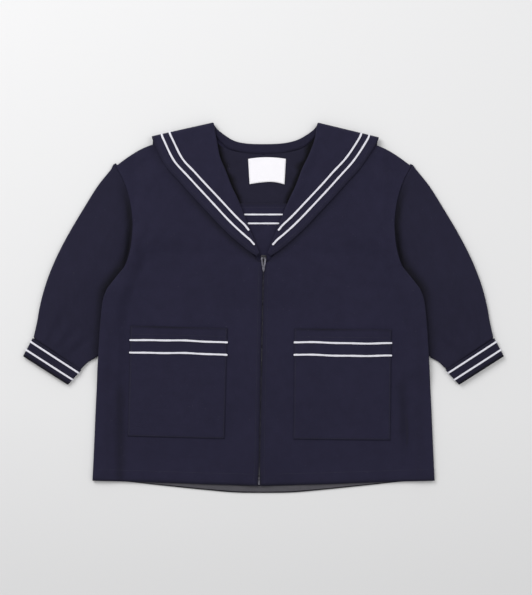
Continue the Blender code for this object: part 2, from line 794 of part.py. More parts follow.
class Tube:
    """A flattened tube: section lines from an outer to an inner fold, under face on its lift."""

    def __init__(self, outer, inner, mouth, end, rounds, height, lift):
        self.outer = outer
        self.inner = inner
        self.mouth = mouth
        self.end = end
        self.rounds = rounds
        self.height = height
        self.lift = lift

    def line(self, s, w):
        return coons(s, w, self.mouth, self.end, self.outer, self.inner)

    def fold_point(self, s, w, angle, radius):
        base = self.line(s, w)
        away = self.line(s, w) - self.line(0.06 if s < 0.5 else 0.94, w)
        away /= np.linalg.norm(away)
        x, y = base + away * radius * math.sin(angle)
        return x, y, self.lift(w) + radius + radius * math.cos(angle)

    def place(self, step, w):
        """Point of the ring, from the outer fold's top over the top face and round."""
        step = step % RING_STEPS
        outer_round, inner_round = self.rounds(w)
        if step <= TOP_STEPS:
            s = ACROSS_SHARES[step]
            x, y = self.line(s, w)
            return x, y, self.lift(w) + self.height(s, w)
        step -= TOP_STEPS
        if step < FOLD_STEPS:
            return self.fold_point(1.0, w, math.pi * step / FOLD_STEPS, inner_round)
        step -= FOLD_STEPS
        if step <= TOP_STEPS:
            x, y = self.line(ACROSS_SHARES[TOP_STEPS - step], w)
            return x, y, self.lift(w)
        step -= TOP_STEPS
        return self.fold_point(0.0, w, math.pi * (1.0 - step / FOLD_STEPS), outer_round)


def inset_path(path, side, rounds_index, rounds):
    """A fold's curve moved inward by the fold's radius."""
    def at(share):
        return path.at(share) + side * path.left(share) * rounds(share)[rounds_index]
    return at


def sleeve_rounds(w):
    outer = SLEEVE_ROUND_OUTER + 1.2 * bell(w, 0.62, 0.25) * ease(w, 0.0, 0.3) + 0.15 * w
    inner = SLEEVE_ROUND_INNER + 0.3 * ease(w, 0.86, 1.0)
    return outer, inner


def sleeve_height(s, w):
    outer, inner = sleeve_rounds(w)
    level = 2.0 * (inner + (outer - inner) * ease(s, 0.8, 0.1))
    crown = ease(s, 0.0, 0.35) * ease(s, 0.82, 0.45)
    puff = 1.6 * crown * ease(w, 0.0, 0.3) * ease(w, 1.05, 0.8)
    cap_fold = 1.3 * bell(w, 0.16, 0.07) * ease(s, 0.1, 0.4) * ease(s, 0.66, 0.5)
    dimple = 1.5 * bell(w, 0.8, 0.09) * bell(s, 0.42, 0.16)
    elbow = 1.0 * bell(w, 0.55, 0.10) * bell(s, 0.2, 0.15)
    gather = 0.6 * ease(w, 0.78, 0.97) * crown * (1.0 + math.cos(2.0 * math.pi * GATHER_COUNT * s + 0.8))
    return level + puff + cap_fold - dimple + elbow + gather


def sleeve_tube():
    outer_path = Path(SLEEVE_OUTER)
    inner_path = Path(SLEEVE_INNER)
    outer = inset_path(outer_path, -1.0, 0, sleeve_rounds)
    inner = inset_path(inner_path, 1.0, 1, sleeve_rounds)
    armhole = Path(ARMHOLE)

    def tucked(share):
        place = armhole.at(share) - armhole.left(share) * MOUTH_GAP
        tuck = max(TUCK_FROM_Y - place[1], 0.0) / (TUCK_FROM_Y - ARMHOLE[0][1])
        return place + np.array(TUCK_SHIFT) * tuck ** 2

    def mouth(s):
        start_shift = outer(0.0) - tucked(1.0)
        end_shift = inner(0.0) - tucked(0.0)
        return tucked(1.0 - s) + start_shift * ease(s, 0.10, 0.0) + end_shift * ease(s, 0.86, 1.0)

    def end(s):
        return outer(1.0) * (1.0 - s) + inner(1.0) * s

    def lift(w):
        return CUFF_LIFT * ease(w, 0.86, 0.99)

    return Tube(outer, inner, mouth, end, sleeve_rounds, sleeve_height, lift)


def cuff_tube():
    outer_path = Path(CUFF_OUTER)
    inner_path = Path(CUFF_INNER)

    def rounds(w):
        return CUFF_ROUND, CUFF_ROUND

    outer = inset_path(outer_path, -1.0, 0, rounds)
    inner = inset_path(inner_path, 1.0, 1, rounds)

    def mouth(s):
        return outer(0.0) * (1.0 - s) + inner(0.0) * s

    def end(s):
        return outer(1.0) * (1.0 - s) + inner(1.0) * s

    def height(s, w):
        return 2.0 * CUFF_ROUND + 0.5 * math.sin(math.pi * s)

    return Tube(outer, inner, mouth, end, rounds, height, lambda w: CUFF_LIFT)


SLEEVE_ROWS = spread(0.0, 0.24, 4) + spread(0.24, 0.72, 5)[1:] + spread(0.72, 1.0, 5)[1:]
CUFF_ROWS = (0.0, 0.5, 1.0)
CUFF_DEPTH = 26.3


def sleeve(name, side):
    tube = sleeve_tube()

    def place(column, row):
        x, y, z = tube.place(column, SLEEVE_ROWS[row])
        return side * x, y, z

    cloth("sleeve_" + name, RING_STEPS, len(SLEEVE_ROWS) - 1, place, CLOTH, "navy cloth",
          ring=True, face_down=side < 0)


def cuff(name, side):
    tube = cuff_tube()

    def place(column, row):
        x, y, z = tube.place(column, CUFF_ROWS[row])
        return side * x, y, z

    cloth("cuff_" + name, RING_STEPS, len(CUFF_ROWS) - 1, place, CLOTH, "navy cloth",
          ring=True, face_down=side < 0)
    for number, centre in enumerate(CUFF_TAPES, start=1):
        cuff_tape(f"cuff_tape_{name}_{number}", side, tube, centre)


def cuff_tape(name, side, tube, centre):
    """A tape round the cuff, its inner face GAP outside the cuff all the way."""
    rows = ((centre - TAPE_WIDTH / 2.0) / CUFF_DEPTH, (centre + TAPE_WIDTH / 2.0) / CUFF_DEPTH)

    def place(column, row):
        w = rows[row]
        here = np.array(tube.place(column, w))
        ahead = np.array(tube.place(column + 1, w))
        behind = np.array(tube.place(column - 1, w))
        along = np.array(tube.place(column, 1.0)) - np.array(tube.place(column, 0.0))
        out = np.cross(along, ahead - behind)
        out /= -np.linalg.norm(out)
        x, y, z = here + out * (GAP + TAPE_THICK)
        return side * x, y, max(z, 0.0)

    cloth(name, RING_STEPS, 1, place, TAPE_THICK, "white tape", ring=True, face_down=side < 0)


# ---- Zip ----

def zip_base(y):
    """Height on which the zip's tapes and chain lie."""
    return back_top(0.0, y) + (WIDE_GAP + CLOTH) * chest_share(y) + GAP


def zip_parts():
    low_y = FRONT_HEM_CENTRE_Y + 1.0
    high_y = SLIDER_FROM_Y - GAP
    chain_low_y = low_y + BOX_LENGTH + GAP
    front_rows = [FRONT_HEM_CENTRE_Y + (ZIP_TOP_Y - FRONT_HEM_CENTRE_Y) * row / CORNER_SHARE
                  for row in LOWER_ROWS]

    def strip(name, near, far, start_y, lift, thick, material):
        heights = [start_y] + [y for y in front_rows if start_y + 3.0 < y < high_y - 3.0] + [high_y]

        def place(column, row):
            y = heights[row]
            x = fronts_slide(y) + (near, far)[column]
            return x, y, zip_base(y) + lift + thick
        cloth(name, 1, len(heights) - 1, place, thick, material)

    beside = CHAIN_HALF_WIDTH + GAP
    strip("zip_tape_left", beside, beside + ZIP_TAPE_WIDTH, low_y, 0.1, ZIP_TAPE_THICK, "zip tape navy")
    strip("zip_tape_right", -beside - ZIP_TAPE_WIDTH, -beside, low_y, 0.1, ZIP_TAPE_THICK,
          "zip tape navy")
    strip("zip_chain", -CHAIN_HALF_WIDTH, CHAIN_HALF_WIDTH, chain_low_y, 0.0, CHAIN_THICK,
          "silver metal")
    zip_box(low_y)
    zip_slider()
    zip_pull_tab()


def add_box(name, low, high, material, bevel):
    form = bmesh.new()
    bmesh.ops.create_cube(form, size=1.0)
    low = Vector(low)
    high = Vector(high)
    for vertex in form.verts:
        vertex.co = Vector([(low[axis] + (vertex.co[axis] + 0.5) * (high[axis] - low[axis]))
                            * METRES_PER_MM for axis in range(3)])
    mesh = bpy.data.meshes.new(name)
    form.to_mesh(mesh)
    form.free()
    piece = add_object(name, mesh, material)
    rounding = piece.modifiers.new("Bevel", "BEVEL")
    rounding.width = bevel * METRES_PER_MM
    rounding.segments = 2
    return piece


def zip_box(low_y):
    centre = fronts_slide(low_y)
    base = zip_base(low_y)
    add_box("zip_box", (centre - BOX_HALF_WIDTH, low_y, base),
            (centre + BOX_HALF_WIDTH, low_y + BOX_LENGTH, base + 1.8), "silver metal", 0.35)


def mesh_from_curve(curve_object, name, material):
    """A curve made into a mesh with its caps welded."""
    graph = bpy.context.evaluated_depsgraph_get()
    mesh = bpy.data.meshes.new_from_object(curve_object.evaluated_get(graph))
    form = bmesh.new()
    form.from_mesh(mesh)
    bmesh.ops.remove_doubles(form, verts=form.verts, dist=1e-6)
    form.to_mesh(mesh)
    form.free()
    mesh.materials.clear()
    piece = add_object(name, mesh, material)
    piece.matrix_world = curve_object.matrix_world
    bpy.data.objects.remove(curve_object)
    return piece


def slider_base():
    return zip_base(PIVOT_Y)


def pivot_height():
    return slider_base() + SLIDER_HEIGHT + PIVOT_ABOVE_SLIDER


def zip_slider():
    base = slider_base()
    body = add_box("zip_slider", (-SLIDER_HALF_WIDTH, SLIDER_FROM_Y, base),
                   (SLIDER_HALF_WIDTH, SLIDER_TO_Y, base + SLIDER_HEIGHT), "black metal", 0.6)
    data = bpy.data.curves.new("slider arch", "CURVE")
    data.dimensions = "3D"
    data.bevel_depth = ARCH_WIRE * METRES_PER_MM
    data.bevel_resolution = 2
    data.use_fill_caps = True
    spline = data.splines.new("POLY")
    steps = 10
    foot = PIVOT_ABOVE_SLIDER + 0.8
    heights = [(-ARCH_RADIUS, -foot)]
    for step in range(steps + 1):
        turn = math.pi * (1.0 - step / steps)
        heights.append((ARCH_RADIUS * math.cos(turn), ARCH_RADIUS * math.sin(turn)))
    heights.append((ARCH_RADIUS, -foot))
    spline.points.add(len(heights) - 1)
    for point, (along, up) in zip(spline.points, heights):
        point.co = (0.0, (PIVOT_Y + along) * METRES_PER_MM, (pivot_height() + up) * METRES_PER_MM, 1.0)
    curve_object = bpy.data.objects.new("slider arch", data)
    bpy.data.collections["Sailor jacket"].objects.link(curve_object)
    bpy.context.view_layer.update()
    arch = mesh_from_curve(curve_object, "slider arch guide", "black metal")
    bpy.data.collections["Sailor jacket"].objects.unlink(arch)
    bpy.data.collections["Guides"].objects.link(arch)
    arch.hide_render = True
    arch.display_type = "WIRE"
    union = body.modifiers.new("Arch", "BOOLEAN")
    union.operation = "UNION"
    union.object = arch


def pull_outline():
    """Teardrop of the pull tab in its own plane, pivot at the origin, hanging towards -Y."""
    half = PULL_WIDTH / 2.0
    return [(-half * 0.72, 1.1), (half * 0.72, 1.1), (half * 0.96, 0.2), (half, -1.2), (half * 0.92, -4.5),
            (half * 0.62, -11.0), (half * 0.42, -16.5), (half * 0.22, 1.1 - PULL_LENGTH + 0.5),
            (0.0, 1.1 - PULL_LENGTH), (-half * 0.22, 1.1 - PULL_LENGTH + 0.5), (-half * 0.42, -16.5),
            (-half * 0.62, -11.0), (-half * 0.92, -4.5), (-half, -1.2), (-half * 0.96, 0.2)]


def pull_slot():
    return [(-1.0, -0.75), (1.0, -0.75), (1.15, -2.5), (0.8, -8.5), (0.0, -10.0), (-0.8, -8.5),
            (-1.15, -2.5)]


def zip_pull_tab():
    data = bpy.data.curves.new("pull tab", "CURVE")
    data.dimensions = "2D"
    data.fill_mode = "BOTH"
    data.extrude = PULL_THICK / 2.0 * METRES_PER_MM
    for outline in (pull_outline(), pull_slot()):
        spline = data.splines.new("POLY")
        spline.points.add(len(outline) - 1)
        spline.use_cyclic_u = True
        for point, (x, y) in zip(spline.points, outline):
            point.co = (x * METRES_PER_MM, y * METRES_PER_MM, 0.0, 1.0)
    curve_object = bpy.data.objects.new("pull tab", data)
    bpy.data.collections["Sailor jacket"].objects.link(curve_object)
    curve_object.location = (0.0, PIVOT_Y * METRES_PER_MM, pivot_height() * METRES_PER_MM)
    bpy.context.view_layer.update()
    mesh_from_curve(curve_object, "zip_pull_tab", "silver metal")


def build():
    for old in list(bpy.data.objects):
        bpy.data.objects.remove(old)
    for name in ("Sailor jacket", "Guides"):
        collection = bpy.data.collections.new(name)
        bpy.context.scene.collection.children.link(collection)
    back_panel()
    collar()
    for which in TAPE_FROM_EDGE:
        collar_tape(which)
    dickey()
    dickey_tapes()
    label()
    for name, side in (("left", 1), ("right", -1)):
        front = front_panel("front_" + name, side)
        pocket(name, side, front)
        sleeve(name, side)
        cuff(name, side)
    zip_parts()


build()
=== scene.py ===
import math

import bmesh
import bpy
import numpy as np
from mathutils import Matrix, Vector


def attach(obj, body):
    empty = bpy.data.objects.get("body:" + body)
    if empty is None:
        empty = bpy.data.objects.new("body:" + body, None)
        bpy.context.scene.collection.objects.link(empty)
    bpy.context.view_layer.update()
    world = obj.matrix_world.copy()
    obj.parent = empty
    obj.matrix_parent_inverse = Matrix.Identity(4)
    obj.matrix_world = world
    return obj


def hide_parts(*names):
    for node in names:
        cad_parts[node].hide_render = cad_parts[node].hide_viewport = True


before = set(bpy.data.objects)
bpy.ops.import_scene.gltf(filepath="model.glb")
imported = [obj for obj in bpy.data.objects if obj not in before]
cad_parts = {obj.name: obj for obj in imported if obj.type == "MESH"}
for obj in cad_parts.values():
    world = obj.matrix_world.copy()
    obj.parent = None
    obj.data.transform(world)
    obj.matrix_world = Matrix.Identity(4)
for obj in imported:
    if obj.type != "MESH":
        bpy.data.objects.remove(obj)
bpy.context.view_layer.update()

# Tables and sizes are in millimetres; meshes are scaled to metres where they are made.
# +Y is towards the neck, +X towards the wearer's left, the jacket lies on z = 0.
# side is 1 for the wearer's left and -1 for the right.
mm = 0.001

cutting = {"clothWall": 1.2, "collarWall": 1.6, "gap": 0.3, "wideGap": 0.45, "frontHemY": -251.5,
           "backHemY": -262.2, "zipTopY": 66.0, "zipLean": -6.5, "underarmY": 29.0}
stack = {"bodySlack": 0.5, "chestSlack": 2.2, "flapUnder": 1.3, "flapLift": 3.2, "tuckLift": 4.9,
         "sideSwell": 1.9, "sideValley": 40.0, "zipRidge": 1.95, "shoulderRound": 2.15}

sideEdge = [(243.5, -244.5), (241.4, -200.0), (238.4, -132.0), (235.7, -81.0), (234.3, -58.0),
            (231.5, -16.0), (227.5, 15.0), (222.0, 29.0)]
armhole = [(222.0, 29.0), (209.0, 46.0), (196.5, 62.0), (189.0, 85.0), (186.0, 118.0),
           (189.5, 150.0), (199.0, 182.0), (211.0, 204.8)]
shoulderFold = [(83.1, 258.2), (125.0, 245.0), (150.0, 236.5), (164.7, 231.5), (181.0, 224.5),
                (196.0, 215.5), (211.0, 204.8)]
rollLine = [(74.5, 258.6), (71.5, 240.0), (64.5, 219.5), (54.5, 198.5), (45.5, 175.0),
            (35.6, 154.0), (25.2, 128.5), (16.0, 106.0), (8.6, 87.0), (5.6, 79.0)]
lapelEdge = [(159.3, 235.1), (153.8, 225.0), (137.5, 200.0), (121.5, 182.5), (105.5, 164.5),
             (78.0, 135.0), (57.5, 113.5), (35.5, 93.5), (22.5, 83.2), (10.2, 75.0)]
neckFold = [(74.5, 258.6), (70.0, 253.0), (64.0, 248.2), (57.0, 243.8), (50.0, 240.2),
            (42.0, 237.6), (30.0, 235.6), (15.0, 234.5), (0.0, 234.2)]
frontHem = [(0.0, -251.5), (80.0, -249.8), (160.0, -247.0), (243.5, -244.5)]
backHem = [(0.0, -262.2), (40.0, -261.6), (85.0, -257.8), (156.0, -250.6), (199.0, -246.2),
           (243.5, -244.5)]
zipHalfGap = [(-252.0, 1.7), (-240.0, 1.3), (-222.0, 0.34), (-95.0, 0.34), (-72.0, 0.75),
              (-45.0, 0.36), (-20.0, 0.44), (40.0, 0.44), (67.0, 0.36)]
tuckEdge = [(-20.0, 213.0), (17.0, 207.0), (36.0, 198.0), (50.0, 193.0), (64.0, 187.0), (96.0, 183.0)]

spread = np.linspace


def ease(value, start, end):
    share = np.clip((np.asarray(value, float) - start) / (end - start), 0.0, 1.0)
    return share * share * (3.0 - 2.0 * share)


def bell(value, centre, width):
    return np.exp(-((np.asarray(value, float) - centre) / width) ** 2)


def readTable(table, value):
    return np.interp(value, [row[0] for row in table], [row[1] for row in table])


def edgeX(table, y):
    # the x of an edge at the height y
    return readTable(sorted((row[1], row[0]) for row in table), y)


def runOf(points, axis=0):
    # the length run along a line, or along each line of a grid
    steps = np.linalg.norm(np.diff(points, axis=axis), axis=-1)
    return np.insert(np.cumsum(steps, axis=axis), 0, 0.0, axis=axis)


def readLine(at, run, points):
    return np.stack([np.interp(at, run, column) for column in np.transpose(points)], -1)


def unit(vectors):
    return vectors / np.linalg.norm(vectors, axis=-1, keepdims=True)


def flipped(points, side):
    # the wearer's right half from the left one, for places and for flat cloth
    return points * np.array([side, 1.0, 1.0])[:points.shape[-1]]


def withMirror(points):
    # joins a left half and its mirror along the last row, which lies on x = 0
    return np.concatenate([points, flipped(points, -1.0)[::-1][1:]])


def upwards(line, sign=1.0):
    return np.tile((0.0, 0.0, sign), (len(line), 1))


class Curve:
    # a smooth line through a table's rows, read by share of its length
    def __init__(self, rows):
        knots = np.array(rows, float)
        padded = np.vstack([2 * knots[0] - knots[1], knots, 2 * knots[-1] - knots[-2]])
        found = []
        for index in range(len(knots) - 1):
            found.extend(self.span(padded[index:index + 4]))
        found.append(knots[-1])
        self.points = np.array(found)
        self.run = runOf(self.points)

    def span(self, knots, count=10):
        times = [0.0]
        for near, far in zip(knots[:-1], knots[1:]):
            times.append(times[-1] + math.sqrt(np.linalg.norm(far - near)))
        found = []
        for step in range(count):
            time = times[1] + (times[2] - times[1]) * step / count
            level = list(knots)
            for width, lowest in ((1, (0, 1, 2)), (2, (0, 1)), (3, (1,))):
                mixed = []
                for slot, low in enumerate(lowest):
                    high = low + width if width < 3 else 2
                    share = (time - times[low]) / (times[high] - times[low])
                    mixed.append(level[slot] * (1 - share) + level[slot + 1] * share)
                level = mixed
            found.append(level[0])
        return found

    def at(self, share):
        return readLine(np.clip(share, 0.0, 1.0) * self.run[-1], self.run, self.points)

    def left(self, share, step=0.004):
        ahead = self.at(np.minimum(np.asarray(share) + step, 1.0))
        behind = self.at(np.maximum(np.asarray(share) - step, 0.0))
        along = unit(ahead - behind)
        return np.stack([-along[..., 1], along[..., 0]], -1)


def patch(across, up, low, high, left, right):
    # fills four edges; across and up are 1-D, and the edges are functions of such shares
    acrossShare = across[None, :, None]
    upShare = up[:, None, None]
    ends = np.array([0.0, 1.0])
    lows = low(ends)
    highs = high(ends)
    corners = ((1 - acrossShare) * ((1 - upShare) * lows[0] + upShare * highs[0])
               + acrossShare * ((1 - upShare) * lows[1] + upShare * highs[1]))
    return ((1 - acrossShare) * left(up)[:, None, :] + acrossShare * right(up)[:, None, :]
            + (1 - upShare) * low(across)[None, :, :] + upShare * high(across)[None, :, :] - corners)


def zipX(y):
    # the x of the zip's line, which leans a little
    share = (cutting["zipTopY"] - y) / (cutting["zipTopY"] - cutting["frontHemY"])
    return cutting["zipLean"] * np.clip(share, 0.0, 1.0)


def backUnder(x, y):
    # the back lies over the collar's flap, and over what is tucked under it at both armholes
    flap = stack["flapLift"] * ease(np.abs(x), 184.0, 168.0) * ease(y, 75.0, 103.0)
    beside = ease(y, -118.0, -80.0) * ease(y, 126.0, 100.0)
    return flap + stack["tuckLift"] * ease(np.abs(x) - readTable(tuckEdge, y), -20.0, 0.0) * beside


def backTop(x, y):
    return backUnder(x, y) + cutting["clothWall"]


def sideDistance(x, y):
    return edgeX(sideEdge, y) - np.abs(x)


def slack(x, y):
    # the air between back and fronts
    chest = stack["bodySlack"] + (stack["chestSlack"] - stack["bodySlack"]) * ease(y, 0.0, 44.0)
    ridge = stack["zipRidge"] * ease(np.abs(x - zipX(y)), 34.0, 5.0) * ease(y, 92.0, 72.0)
    inward = sideDistance(x, y)
    swell = ease(inward, stack["sideValley"], 12.0) - 0.35 * bell(inward, stack["sideValley"] + 4.0, 9.0)
    swell = stack["sideSwell"] * swell * ease(y, 60.0, 10.0)
    sway = 0.3 * (1.0 + np.sin(x * 0.045 + 1.0) * np.sin(y * 0.031))
    sway = sway * ease(y, 30.0, 0.0) * ease(inward, 4.0, 30.0)
    return chest + ridge + np.maximum(swell, -0.1) + sway


def frontUnder(x, y):
    return backTop(x, y) + slack(x, y)


def frontTop(x, y):
    return frontUnder(x, y) + cutting["clothWall"]


# creases lie where they show: middle x, y, direction in degrees, length, half width, height (- is a trough)
creases = {
    "front": [
        (-196, 118, 78, 70, 9, -0.9), (-186, 96, 84, 60, 8, 0.55), (-178, 150, 66, 60, 10, 0.5),
        (-206, 52, 60, 44, 7, -0.9), (-176, 60, 38, 60, 11, -0.45), (-150, 110, 62, 80, 14, 0.35),
        (-118, 52, 15, 90, 14, -0.3), (-70, 8, 82, 90, 16, 0.3), (-36, 20, 86, 90, 9, -0.35),
        (-30, -60, 88, 120, 8, 0.35), (-40, -150, 85, 110, 10, -0.3), (-212, -60, 86, 90, 8, -0.5),
        (-206, -190, 87, 96, 10, -0.55), (-120, -215, 8, 120, 12, -0.25), (-98, -232, 84, 40, 12, 0.35),
        (-150, 190, 40, 60, 10, 0.4), (-172, 205, 30, 50, 8, -0.5),
        (200, 120, 102, 74, 9, -0.9), (188, 100, 97, 60, 8, 0.6), (180, 156, 112, 56, 10, 0.5),
        (206, 54, 122, 44, 7, -0.9), (178, 66, 140, 56, 11, -0.4), (148, 104, 118, 84, 13, 0.35),
        (112, 40, 168, 80, 14, -0.3), (66, 14, 96, 80, 14, 0.3), (34, 34, 94, 80, 9, -0.3),
        (28, -90, 92, 130, 8, 0.35), (38, -190, 95, 90, 10, -0.35), (214, -70, 94, 84, 8, -0.45),
        (204, -176, 92, 130, 9, -0.8), (192, -182, 91, 110, 8, 0.5), (110, -222, 172, 110, 12, -0.3),
        (92, -236, 96, 36, 12, 0.35), (156, 186, 138, 54, 10, 0.4), (174, 202, 148, 48, 8, -0.5),
    ],
    "back": [
        (-128, -96, 80, 170, 15, 0.40), (96, -124, 101, 150, 13, 0.36), (-46, 34, 86, 110, 12, 0.45),
        (64, 52, 97, 90, 11, 0.42), (-158, 52, 68, 96, 10, 0.45), (152, 36, 114, 84, 12, 0.40),
        (-90, -190, 94, 70, 10, 0.32), (150, -196, 84, 84, 9, 0.34), (-186, -30, 84, 110, 10, 0.40),
        (182, -60, 95, 90, 9, 0.38), (-100, 130, 20, 60, 9, 0.35), (108, 96, 158, 52, 8, 0.32),
    ],
    "flap": [
        (-62, 176, 74, 70, 10, -0.55), (48, 168, 104, 62, 9, -0.50), (4, 190, 84, 40, 8, -0.35),
        (-96, 200, 58, 44, 8, -0.40), (98, 196, 122, 50, 9, -0.45),
    ],
    "pocket": [
        (-118, -120, 70, 70, 12, -0.3), (-150, -80, 96, 60, 12, 0.25), (-88, -150, 60, 50, 10, 0.25),
        (110, -126, 108, 76, 12, -0.3), (142, -88, 82, 56, 12, 0.25), (86, -96, 120, 40, 10, 0.2),
    ],
    "collar": [
        (-96, 205, 128, 70, 10, 0.3), (-118, 214, 118, 50, 8, -0.3), (-60, 150, 112, 60, 9, -0.25),
        (98, 206, 50, 64, 10, 0.3), (122, 212, 60, 46, 8, -0.3), (62, 146, 66, 64, 9, -0.25),
        (-84, 240, 20, 40, 7, 0.3), (88, 238, 160, 44, 7, 0.3),
    ],
    "dickey": [(-6, 108, 86, 50, 7, 0.2), (12, 138, 30, 40, 6, -0.2)],
    # a sleeve's creases are placed by share across (0 outer, 1 inner) and share down to the cuff
    "sleeve": [
        (0.30, 0.80, 0.10, 0.050, -1.4), (0.52, 0.82, 0.09, 0.045, -1.5), (0.72, 0.84, 0.10, 0.045, -1.2),
        (0.41, 0.84, 0.10, 0.040, 1.0), (0.62, 0.82, 0.11, 0.040, 1.0), (0.18, 0.83, 0.09, 0.045, 0.7),
        (0.82, 0.66, 0.10, 0.060, 0.7), (0.70, 0.58, 0.12, 0.070, -0.8), (0.30, 0.52, 0.14, 0.080, 0.8),
        (0.50, 0.42, 0.12, 0.070, -0.7), (0.76, 0.34, 0.12, 0.060, -0.7), (0.30, 0.25, 0.10, 0.070, 0.7),
        (0.52, 0.16, 0.09, 0.060, -0.7), (0.40, 0.66, 0.10, 0.050, -0.6), (0.12, 0.60, 0.10, 0.050, -0.5),
    ],
}
creaseScale = {"front": 2.6, "flap": 1.0, "back": 1.0, "pocket": 1.3, "collar": 1.7, "dickey": 1.3,
               "sleeve": 0.85}
creaseForm = {"bow": 0.0016, "narrow": 0.85, "fadeTo": 0.62, "fadeFrom": 0.12, "deepest": -1.9}


def creaseHeight(piece, x, y):
    height = np.zeros(np.broadcast(x, y).shape)
    for middleX, middleY, degrees, length, halfWidth, rise in creases[piece]:
        turn = math.radians(degrees)
        along = (x - middleX) * math.cos(turn) + (y - middleY) * math.sin(turn)
        across = -(x - middleX) * math.sin(turn) + (y - middleY) * math.cos(turn)
        across = across + creaseForm["bow"] * along * along * (1 if rise > 0 else -1)
        fade = ease(np.abs(along), length * creaseForm["fadeTo"], length * creaseForm["fadeFrom"])
        bump = creaseScale[piece] * rise * bell(across, 0.0, halfWidth * creaseForm["narrow"])
        height = height + bump * fade
    return height


def frontLaid(x, y):
    # a front's outer face with its creases, kept off the seams, and lifted a little beside the armhole
    settle = (ease(sideDistance(x, y), 2.0, 16.0) + ease(y, 20.0, 60.0)).clip(0.0, 1.0)
    fromArmhole = edgeX(armhole, y) - np.abs(x)
    settle = settle * np.where(y > 62.0, ease(fromArmhole, 1.0, 12.0), 1.0)
    lip = 0.7 * bell(fromArmhole, 3.0, 5.0) * ease(y, 56.0, 90.0) * ease(y, 206.0, 180.0)
    crease = np.maximum(creaseHeight("front", x, y), creaseForm["deepest"])
    return frontTop(x, y) + crease * settle + lip


def newObject(name, data, body="jacket"):
    made = bpy.data.objects.new(name, data)
    bpy.context.scene.collection.objects.link(made)
    if body:
        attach(made, body)
    return made


def meshOf(form, mesh):
    form.to_mesh(mesh)
    form.free()
    return mesh


def thicken(piece, wall):
    layer = piece.modifiers.new("Cloth", "SOLIDIFY")
    layer.thickness = wall * mm
    layer.offset = -1.0


def edgeShare(cloth, edges, reach=7.0):
    # 1 at the named edges of a piece (l r b t), falling to 0 over the reach
    share = np.zeros(cloth.shape[:2])
    across = runOf(cloth, 1)
    upward = runOf(cloth, 0)
    runs = {"l": across, "r": across[:, -1:] - across, "b": upward, "t": upward[-1:] - upward}
    for edge in edges:
        share = np.maximum(share, ease(runs[edge], reach, 0.0))
    return share


def gridObject(name, points, cloth, wall=0.0, closed=False, facing=(0.3, 0.5, (0, 0, 1)), edges=""):
    # points is rows x columns x 3; cloth is rows x columns x 2, the place on the flat cloth, in mm
    # facing tells which way the outer face looks at one share of the rows and columns
    rows, columns = points.shape[:2]
    row, column = int(facing[0] * (rows - 2)), int(facing[1] * (columns - 2))
    corner = points[row, column]
    outward = np.cross(points[row, column + 1] - corner, points[row + 1, column] - corner)
    form = bmesh.new()
    bmesh.ops.create_grid(form, x_segments=columns - 1, y_segments=rows - 1, size=0.5)
    mesh = meshOf(form, bpy.data.meshes.new(name))
    mesh.vertices.foreach_set("co", (points.reshape(-1, 3) * mm).astype(np.float32).ravel())
    corners = np.zeros(len(mesh.loops), np.int32)
    mesh.loops.foreach_get("vertex_index", corners)
    layer = mesh.uv_layers.new(name="cloth")
    layer.data.foreach_set("uv", (cloth.reshape(-1, 2) * mm)[corners].astype(np.float32).ravel())
    # per point, how much wear and painted shade darken the colour
    near = mesh.attributes.new("wearAndShadeNear", "FLOAT", "POINT")
    share = edges if isinstance(edges, np.ndarray) else edgeShare(cloth, edges)
    near.data.foreach_set("value", share.astype(np.float32).ravel())
    form = bmesh.new()
    form.from_mesh(mesh)
    if closed:
        bmesh.ops.remove_doubles(form, verts=form.verts, dist=1e-6)
    if float(np.dot(outward, facing[2])) < 0.0:
        bmesh.ops.reverse_faces(form, faces=form.faces)
    meshOf(form, mesh).shade_smooth()
    piece = newObject(name, mesh)
    if wall:
        thicken(piece, wall)
    return piece


sheetLimits = {"width": 10.0, "areaShare": 0.302}


def finish(piece, look, nodes=(), size=None, area=None):
    piece.data.materials.clear()
    piece.data.materials.append(materials[look])
    if nodes:
        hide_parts(*nodes)
    if size:
        width, length = max(size[0], sheetLimits["width"]), size[1]
        if area is not None:
            area = min(max(area, sheetLimits["areaShare"] * width * length), width * length) * mm * mm
    return piece


def cutArea(points):
    # the area of the cloth that a grid of points lays
    first = points[:-1, :-1]
    across = points[:-1, 1:] - first
    middle = points[1:, 1:] - first
    up = points[1:, :-1] - first
    return float(0.5 * (np.linalg.norm(np.cross(across, middle), axis=2)
                        + np.linalg.norm(np.cross(middle, up), axis=2)).sum())


def laySheet(name, points, look, nodes, size, restsOn, wall=cutting["clothWall"], area="own", held="laid",
             cloth=None, **form):
    # a sheet from a grid of points, with its place on the cloth unless given
    piece = gridObject(name, points, points[..., :2] if cloth is None else cloth, wall, **form)
    area = cutArea(points) if area == "own" else area
    return finish(piece, look, nodes, size, area)


